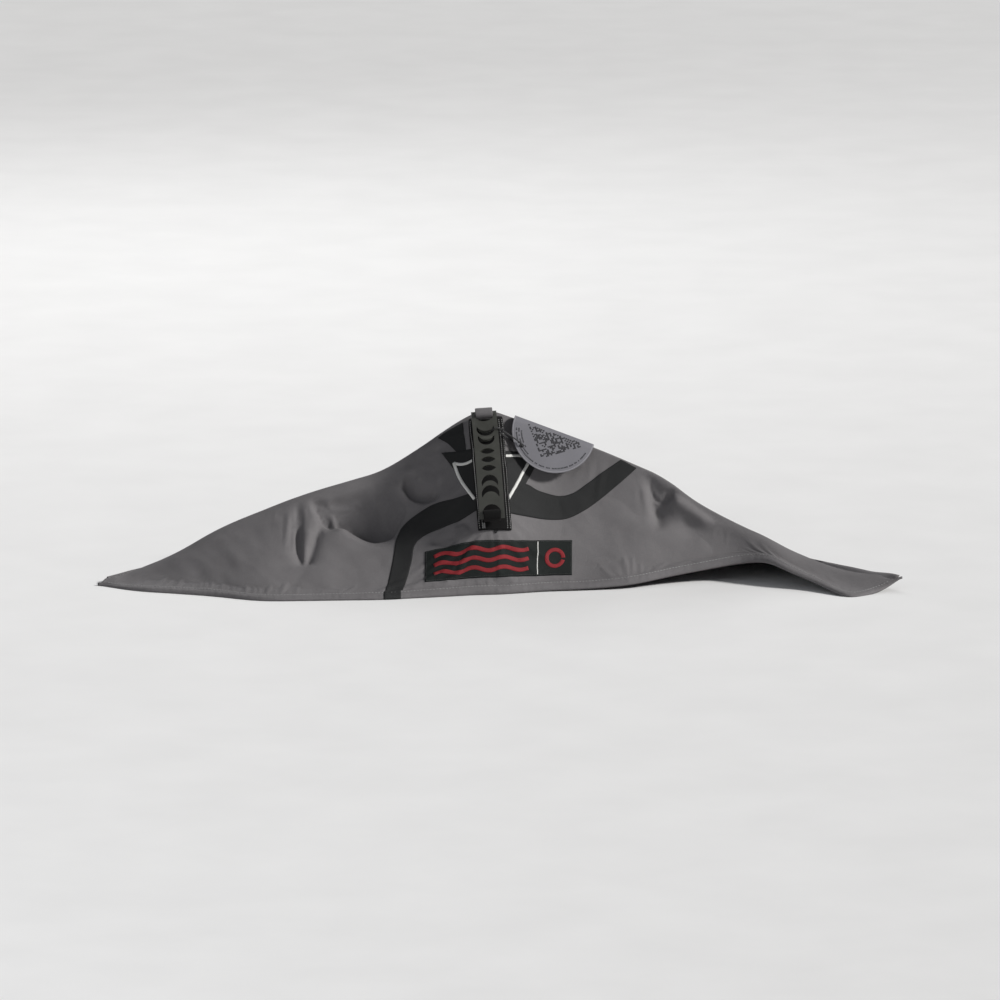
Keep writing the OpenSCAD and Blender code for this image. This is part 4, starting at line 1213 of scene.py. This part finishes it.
def rim_cord():
    """Elastic cord of the rim: inside the hem's casing, and out through its gap as two tails."""
    low, high = box("rim_cord_ends")
    radius, bend, bend_x = 2.0, 9, 14
    tail_x = high[0] - radius - 1.4
    tail_z = (low[2] + high[2]) / 2
    back = box("shock_cord")[1][1]
    parts = Parts()
    for side in (-1, 1):
        line = rear_line(np.linspace(side * 330, side * 24, 120), CORD_HIGH)
        foot = rear_line(side * bend_x, CORD_HIGH)
        turn = [(side * (bend_x - bend * math.sin(a)), foot[1] + bend * (1 - math.cos(a)),
                 mix(foot[2], tail_z, smooth(a / math.radians(120)))) for a in np.radians(range(0, 90, 15))]
        tail = [(side * tail_x, y, tail_z) for y in np.linspace(foot[1] + 22, back, 9)]
        path = resample(curve_through(np.vstack([line, turn, tail]), 5), 1.6)
        parts.add(*tube(path, circle(radius, 10)))
    xs = np.linspace(FACE.left + 60, FACE.right - 60, 300)
    parts.add(*tube(CLOTH.place(xs, 4.4, -0.2), circle(1.7, 8)))
    parts.make("rim_cord", "cord", "deck", ["shock_cord"])


rim_cord()


# ---- waist tunnel -------------------------------------------------------------------------
WALL_LOW, WALL_HIGH = (corner[2] for corner in box("tunnel_wall"))
TOP_LOW, TOP_HIGH = (corner[2] for corner in box("tunnel_hem"))
TURN = np.arange(720) * 2 * np.pi / 720


def tunnel_seam():
    """Seam tape round the tunnel's foot."""
    half = (SEAM_HI[2] - SEAM_LO[2]) / 2
    outline = np.array([(-0.9, -0.9), (0.9, -0.9), (1.15, -0.5), (1.0, 0), (1.15, 0.5), (0.9, 0.9),
                        (-0.9, 0.9), (-1.0, 0)]) * (1.0, half)
    path = around_tunnel(TUNNEL_R, TURN, SEAM_Z)
    make_object("tunnel_seam_tape", *tube(path, outline, ring=True), "seam_tape", "deck", ["tunnel_seam"])


def tunnel_wall():
    """The slumped wall between the deck and the tunnel's top, rippled in folds."""
    t = np.linspace(0, 1, 44)[None, :]
    a = TURN[:, None]
    drift = 0.9 * np.sin(3 * a + 0.6) + 0.6 * np.sin(7 * a + 2.0) + 0.5 * np.sin(13 * a)
    ripples = 3
    phase = 2 * np.pi * ripples * t + drift
    fold = np.sin(phase) * faded(t, 0.12)
    tuck = np.cos(phase) * faded(t, 0.15)
    uneven = 1 + 0.25 * np.sin(5 * a + 1.3) + 0.15 * np.sin(19 * a)
    radius = TUNNEL_R + 2.1 * fold * uneven + 0.35 * np.sin(47 * a + 9 * t) * fold
    wall = around_tunnel(radius, a, mix(WALL_LOW - 0.4, TOP_LOW + 0.6, t) + 0.9 * tuck)
    verts, faces = padded_sheet(wall, grid_normals(wall, ring=True), ring=True)
    piece = make_object("tunnel_wall_cloth", verts, faces, "deck_fabric", None, ["tunnel_wall"])
    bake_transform(piece)


# The tunnel hem's section, in shares of its half width and its height
TOP_SECTION = mirrored([(0.55, 0.02), (0.62, 0.1), (0.66, 0.17), (0.95, 0.34), (1.0, 0.55), (0.93, 0.8),
                        (0.6, 0.97), (0, 1.0)])


def tunnel_hem():
    """The gathered hem at the tunnel's top, with its two rows of stitches."""
    wide = 3.7 * gathered(TURN * TUNNEL_R, 0.09, 33.0)
    tall = TOP_HIGH - TOP_LOW
    outline = TOP_SECTION[None] * np.stack([wide, np.full(TURN.shape, tall)], axis=1)[:, None]
    verts, faces = tube(around_tunnel(TUNNEL_R, TURN, TOP_LOW), outline, ring=True)
    make_object("tunnel_hem_cloth", verts, faces, "hem_fabric", "tunnel_top", ["tunnel_hem"])
    threads = Parts()
    height = TOP_LOW + 0.14 * tall
    for side in (-1, 1):
        ring = around_tunnel(TUNNEL_R + side * 0.66 * wide, TURN, height)
        ring_stitches(threads, ring, unit(ring - np.array([0, TUNNEL_Y, height])) * side)
    threads.make("tunnel_stitches", "thread_grey", "tunnel_top", slot="hem_fabric")


tunnel_seam()
tunnel_wall()
tunnel_hem()


# ---- the swing tag and its string ---------------------------------------------------------
TAG_X, TAG_ROLL, TAG_YAW = 68.0, 20.5, -1.0
TAG_FRONT, TAG_REAR = math.radians(59), math.radians(30)
TAG_BEND, TAG_RISE, TAG_BACK = 8.0, 3.9, -3.5
TAG_HALF = TAG_BEND * (TAG_FRONT + TAG_REAR) / 2
TAG_MIDDLE = (TAG_FRONT - TAG_REAR) / 2
TAG_R = 47.0
TAG_CENTRE = 3.5
TAG_THICK = 0.8
TAG_HOLE = (-29.0, 31.0)


def rotate(p, axis, degrees):
    """Points turned about the X (0), Y (1) or Z (2) axis."""
    a = math.radians(degrees)
    p = np.array(p, float)
    i, j = ((1, 2), (2, 0), (0, 1))[axis]
    u, v = p[..., i].copy(), p[..., j].copy()
    p[..., i] = u * math.cos(a) - v * math.sin(a)
    p[..., j] = u * math.sin(a) + v * math.cos(a)
    return p


def tag_place(x, s, lift):
    """A place on the tag, as the CAD bends it: x along the fold, s across it and positive to the front."""
    x, s, lift = np.broadcast_arrays(np.asarray(x, float), np.asarray(s, float), np.asarray(lift, float))
    a = np.clip(TAG_MIDDLE + s / TAG_BEND, -TAG_REAR, TAG_FRONT)
    r = TAG_BEND + lift
    front, rear = np.maximum(s - TAG_HALF, 0), np.maximum(-s - TAG_HALF, 0)
    p = np.stack([x, -r * np.sin(a) - front * math.cos(TAG_FRONT) + rear * math.cos(TAG_REAR),
                  r * np.cos(a) - front * math.sin(TAG_FRONT) - rear * math.sin(TAG_REAR)], axis=-1)
    origin = FACE.at(TAG_X, 1.0) + np.array([0.5, TAG_BACK, TAG_RISE - TAG_BEND])
    return origin + rotate(rotate(p, 1, TAG_ROLL), 2, TAG_YAW)


def tag_curl(x, s):
    """How far the card's far corner curls away from the deck."""
    return 0.9 * (np.maximum(x, 0) / TAG_R) ** 2 * smooth((s - TAG_HALF) / 20)


def cut_hole(work, middle, radius):
    """Takes a round hole out of a flat mesh."""
    near = [f for f in work.faces if (f.calc_center_median() - middle).length < radius]
    bmesh.ops.delete(work, geom=near, context="FACES")
    bmesh.ops.delete(work, geom=[v for v in work.verts if not v.link_faces], context="VERTS")
    for v in work.verts:
        if v.is_boundary and (v.co - middle).length < 2 * radius:
            v.co = middle + (v.co - middle).normalized() * radius


def tag_disc(name, look, inner, radius, lift, thick, replaces=(), hole=None):
    """A disc or a ring of card, bent as the tag is, with a round hole where one is given."""
    rings, spokes = 42, 150
    work = bmesh.new()
    a = np.arange(spokes) * 2 * np.pi / spokes
    flat = [work.verts.new((r * math.cos(t), r * math.sin(t), 0))
            for r in np.linspace(inner, radius, rings) for t in a]
    for quad in grid_faces(rings, spokes, closed=True):
        work.faces.new([flat[i] for i in quad])
    if hole:
        cut_hole(work, Vector((TAG_HOLE[0], TAG_HOLE[1] - TAG_CENTRE, 0)), hole)
    base = bmesh.ops.extrude_face_region(work, geom=list(work.faces))
    for v in base["geom"]:
        if isinstance(v, bmesh.types.BMVert):
            v.co.z = thick
    work.verts.index_update()
    x, s, z = np.array([v.co for v in work.verts]).T
    s = s + TAG_CENTRE
    faces = [tuple(v.index for v in f.verts) for f in work.faces]
    work.free()
    placed = tag_place(x, s, z + lift + tag_curl(x, s))
    make_object(name, placed, faces, look, "tag", replaces, "tag_card", sharp=50)


def tag_cell(parts, a, b, c, d):
    """A printed cell between four (x, s) corners."""
    t = np.linspace(0, 1, 4)
    u, v = np.meshgrid(t, t, indexing="ij")
    weights = ((1 - u) * (1 - v), u * (1 - v), u * v, (1 - u) * v)
    x, s = (sum(share * corner[k] for share, corner in zip(weights, (a, b, c, d))) for k in (0, 1))
    height = TAG_THICK - 0.02 + tag_curl(x, s)
    parts.add(*shell(tag_place(x, s, height + 0.09), tag_place(x, s, height)))


def swing_tag():
    """The round card tag: a paler rim line, a block of small cells, and dashes round the rim."""
    tag_disc("tag_card_disc", "tag_card", 0.01, TAG_R, 0, TAG_THICK, ["swing_tag"], hole=2.6)
    tag_disc("tag_rim_line", "tag_rim", TAG_R - 1.6, TAG_R - 0.7, TAG_THICK - 0.02, 0.1)
    ink = Parts()
    rng = np.random.default_rng(7)
    corner, left, right = np.array([-3.5, 37.0]), np.array([-25, 11.0]), np.array([28.0, 13.0])
    count = 21
    step_a, step_b = (left - corner) / count, (right - corner) / count
    for i in range(count + 6):
        for j in range(count + 4):
            cell = corner + step_a * i + step_b * j
            inside = cell[1] + step_a[1] + step_b[1] > TAG_HALF - 3
            if rng.random() < 0.52 and inside:
                tag_cell(ink, cell, cell + step_a, cell + step_a + step_b, cell + step_b)
    for r0, first, last in ((41.2, 14, 166), (38.4, 14, 62), (35.6, 18, 50)):
        for angle in np.radians(np.arange(first, last, 2.3)):
            if rng.random() < 0.85:
                half = 0.012 + 0.006 * rng.random()
                corners = [np.array([-r * math.cos(angle + o), TAG_CENTRE + r * math.sin(angle + o)])
                           for r, o in ((r0, -half), (r0, half), (r0 + 1.6, half), (r0 + 1.6, -half))]
                tag_cell(ink, *corners)
    ink.make("tag_print_cells", "tag_ink", "tag", ["tag_print"])


swing_tag()

NORMAL = np.array(JOINTS["handle_lift"]["axis"], float)


def centre_of(node):
    """The middle of a CAD node."""
    lo, hi = box(node)
    return (lo + hi) / 2


UPWARD = unit(centre_of("handle_loop_upper") - centre_of("handle_loop_lower"))
SIDEWAYS = unit(np.cross(UPWARD, NORMAL))


def tag_string():
    """Elastic string: a loop round the grip's rail, one strand to the tag's front and one behind it."""
    rail = np.array(JOINTS["tag_string_swing"]["pos_m"]) / MM
    tilt = math.radians(14.5)
    outward = NORMAL * math.cos(tilt) + UPWARD * math.sin(tilt)
    radius = 5.2
    turns = np.radians(np.arange(40, 321, 14))
    loop = [rail + SIDEWAYS * radius * math.cos(t) + outward * radius * math.sin(t) for t in turns]
    hx, hs = TAG_HOLE
    # From behind the card, through its hole and back over it, as (x, s, lift) from the hole
    strand = [tag_place(hx + x, hs + s, lift) for x, s, lift in (
        (-18, -4, -2.6), (-8, -2, -2.4), (-2.6, 0, -2.2), (-0.6, 0, -1.5), (0, 0, 0.4), (0, 0, 2.4),
        (-1.6, -0.4, 4.0), (-8, -3, 4.6))]
    knot_at = rail + SIDEWAYS * 5.6 + outward * 1.2
    path = resample(curve_through(loop + strand + [knot_at], 6), 0.7)
    parts = Parts()
    parts.add(*tube(path, circle(0.8, 10), up=NORMAL))
    knot = [knot_at + SIDEWAYS * (1.7 * math.cos(t) + 0.3 * math.sin(2 * t)) + outward * 1.5 * math.sin(t)
            + UPWARD * math.sin(2 * t) for t in np.linspace(0, 2 * np.pi, 26)[:-1]]
    parts.add(*tube(knot, circle(0.85, 8), ring=True, up=UPWARD))
    parts.make("tag_string_cord", "cord", "tag_string", ["tag_cord"])


tag_string()


# ---- loops of the grab handle -------------------------------------------------------------
def handle_loop(name, node, look):
    """A closed band round one of the grip's end bars, long enough for the grip's lift."""
    radius, width, thick = 5.1, 19.0, 1.15
    centre = centre_of(node)
    lift = JOINTS["handle_lift"]["range_m"][1] / MM
    t = np.radians(np.arange(0, 360, 9.0))[:, None]
    rise = np.where(np.sin(t) >= 0, lift / 2, -lift / 2)
    path = centre + UPWARD * radius * np.cos(t) + NORMAL * (radius * np.sin(t) + rise)
    a = np.linspace(0, 2 * np.pi, 24, endpoint=False)
    across = np.sign(np.cos(a)) * np.abs(np.cos(a)) ** 0.25 * width / 2
    depth = np.sign(np.sin(a)) * np.abs(np.sin(a)) ** 0.7 * thick / 2
    out = unit(np.cross(unit(around(path)), SIDEWAYS))
    grid = path[:, None] + SIDEWAYS * across[:, None] + out[:, None] * depth[:, None]
    make_object(name, *closed_bar(grid, ring=True), look, "deck", [node])


handle_loop("loop_lower_webbing", "handle_loop_lower", "webbing")
handle_loop("loop_upper_cloth", "handle_loop_upper", "deck_fabric")


# ---- springs of the cord locks ------------------------------------------------------------
def lock_spring(name, node, body, joint):
    """A coil spring with ground end turns."""
    # Both springs have the size of the rim's, which stands upright in the frame
    size = np.subtract(*box("rim_lock_spring")[::-1])
    wire = 0.35
    length, radius = size[2] - 0.1, size[0] / 2 - wire
    press = unit(np.array(JOINTS[joint]["axis"], float))
    side = unit(np.cross(press, (1.0, 0.0, 0.0)))
    other = np.cross(press, side)
    middle = centre_of(node)
    turns = np.linspace(0, 7, 240)
    rise = np.interp(turns, (0, 1, 6, 7), (0, 1.2 * wire, length - 3.2 * wire, length - 2 * wire))
    rise += wire - length / 2
    angle = turns[:, None] * 2 * np.pi
    path = middle + radius * (np.cos(angle) * side + np.sin(angle) * other) + rise[:, None] * press
    piece = make_object(name, *tube(path, circle(wire, 8), up=press), "spring_steel", body, [node])
    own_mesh(piece)


lock_spring("rim_spring_coil", "rim_lock_spring", "rim_lock", "rim_button_press")
lock_spring("tunnel_spring_coil", "tunnel_lock_spring", "tunnel_lock", "tunnel_button_press")


# ---- CAD nodes that keep their shape ------------------------------------------------------
def keep_nodes():
    """Every CAD node still shown gets its slot's material, joined corners and softened edges."""
    slots = {p["node"]: p["material_slot"] for p in frame["record"]["subparts"]}
    soft_edges = {"handle_grip": 0.7, "rim_lock_barrel": 0.35, "rim_lock_button": 0.35,
                  "tunnel_lock_barrel": 0.35, "tunnel_lock_button": 0.35, "tunnel_eyelets": 0.2,
                  "rim_cord_ends": 0.25, "tunnel_cord_ends": 0.25, "stay_caps": 0.3, "stay_straps": 0.3,
                  "stay_pockets": 0.3, "stay_loop": 0.2}
    for name, piece in NODES.items():
        if piece.hide_render:
            continue
        piece.data.materials.clear()
        piece.data.materials.append(MATERIALS[slots[name]])
        weld = piece.modifiers.new("weld", "WELD")
        weld.merge_threshold = 0.00002
        if name in soft_edges:
            bevel = piece.modifiers.new("bevel", "BEVEL")
            bevel.width = soft_edges[name] * MM
            bevel.segments = 3
            bevel.limit_method = "ANGLE"
            bevel.angle_limit = math.radians(40)
        piece.data.shade_smooth()
        shading = piece.modifiers.new("shading", "WEIGHTED_NORMAL")
        shading.keep_sharp = True


keep_nodes()


# ---- floor, light and camera --------------------------------------------------------------
def sky(colour, strength):
    """Even light from all sides."""
    world = bpy.data.worlds.new("studio")
    bpy.context.scene.world = world
    world.use_nodes = True
    background = world.node_tree.nodes["Background"]
    background.inputs[0].default_value = (*colour, 1)
    background.inputs[1].default_value = strength


def put(name, data, place, way):
    """A lamp or a camera at a place, looking along way."""
    piece = bpy.data.objects.new(name, data)
    piece.location = place
    piece.rotation_mode = "QUATERNION"
    piece.rotation_quaternion = Vector(way).to_track_quat("-Z", "Y")
    bpy.context.scene.collection.objects.link(piece)
    return piece


def lamp(name, kind, place, target, power, colour, **settings):
    """A lamp that shines from a place to a target."""
    data = bpy.data.lights.new(name, kind)
    data.energy = power
    data.color = colour
    for key, value in settings.items():
        setattr(data, key, value)
    put(name, data, place, Vector(target) - Vector(place))


def studio():
    """A wide pale floor in soft light. The key lamp is distant, which keeps the floor even."""
    bpy.context.scene.view_settings.view_transform = "Standard"
    sky((0.93, 0.95, 1.0), 0.2)
    lamp("key", "SUN", (2.5, -0.65, 1.5), (0, 0, 0), 3.9, (1.0, 0.985, 0.96), angle=0.16)
    lamp("fill", "AREA", (-1.6, -2.0, 1.2), (0, 0.1, 0.05), 8, (0.93, 0.96, 1.0), size=1.8)
    lamp("back", "AREA", (-0.6, 2.4, 1.8), (0, 0.2, 0.05), 16, (1, 1, 1), size=1.4)
    corners = [(12000.0 * a, 12000.0 * b, -0.2) for a, b in ((-1, -1), (1, -1), (1, 1), (-1, 1))]
    make_object("floor", corners, [(0, 1, 2, 3)], "floor")


def camera():
    """A long lens in front of the skirt, 12 degrees above the ground."""
    elevation = math.radians(12)
    distance, width = 8.0, 1.1
    data = bpy.data.cameras.new("camera")
    data.lens = data.sensor_width * distance / width
    data.clip_end = 100
    aim = Vector((0.011, 0.0, 0.1067))
    back = Vector((0, -math.cos(elevation), math.sin(elevation)))
    bpy.context.scene.camera = put("camera", data, aim + back * distance, -back)


studio()
camera()
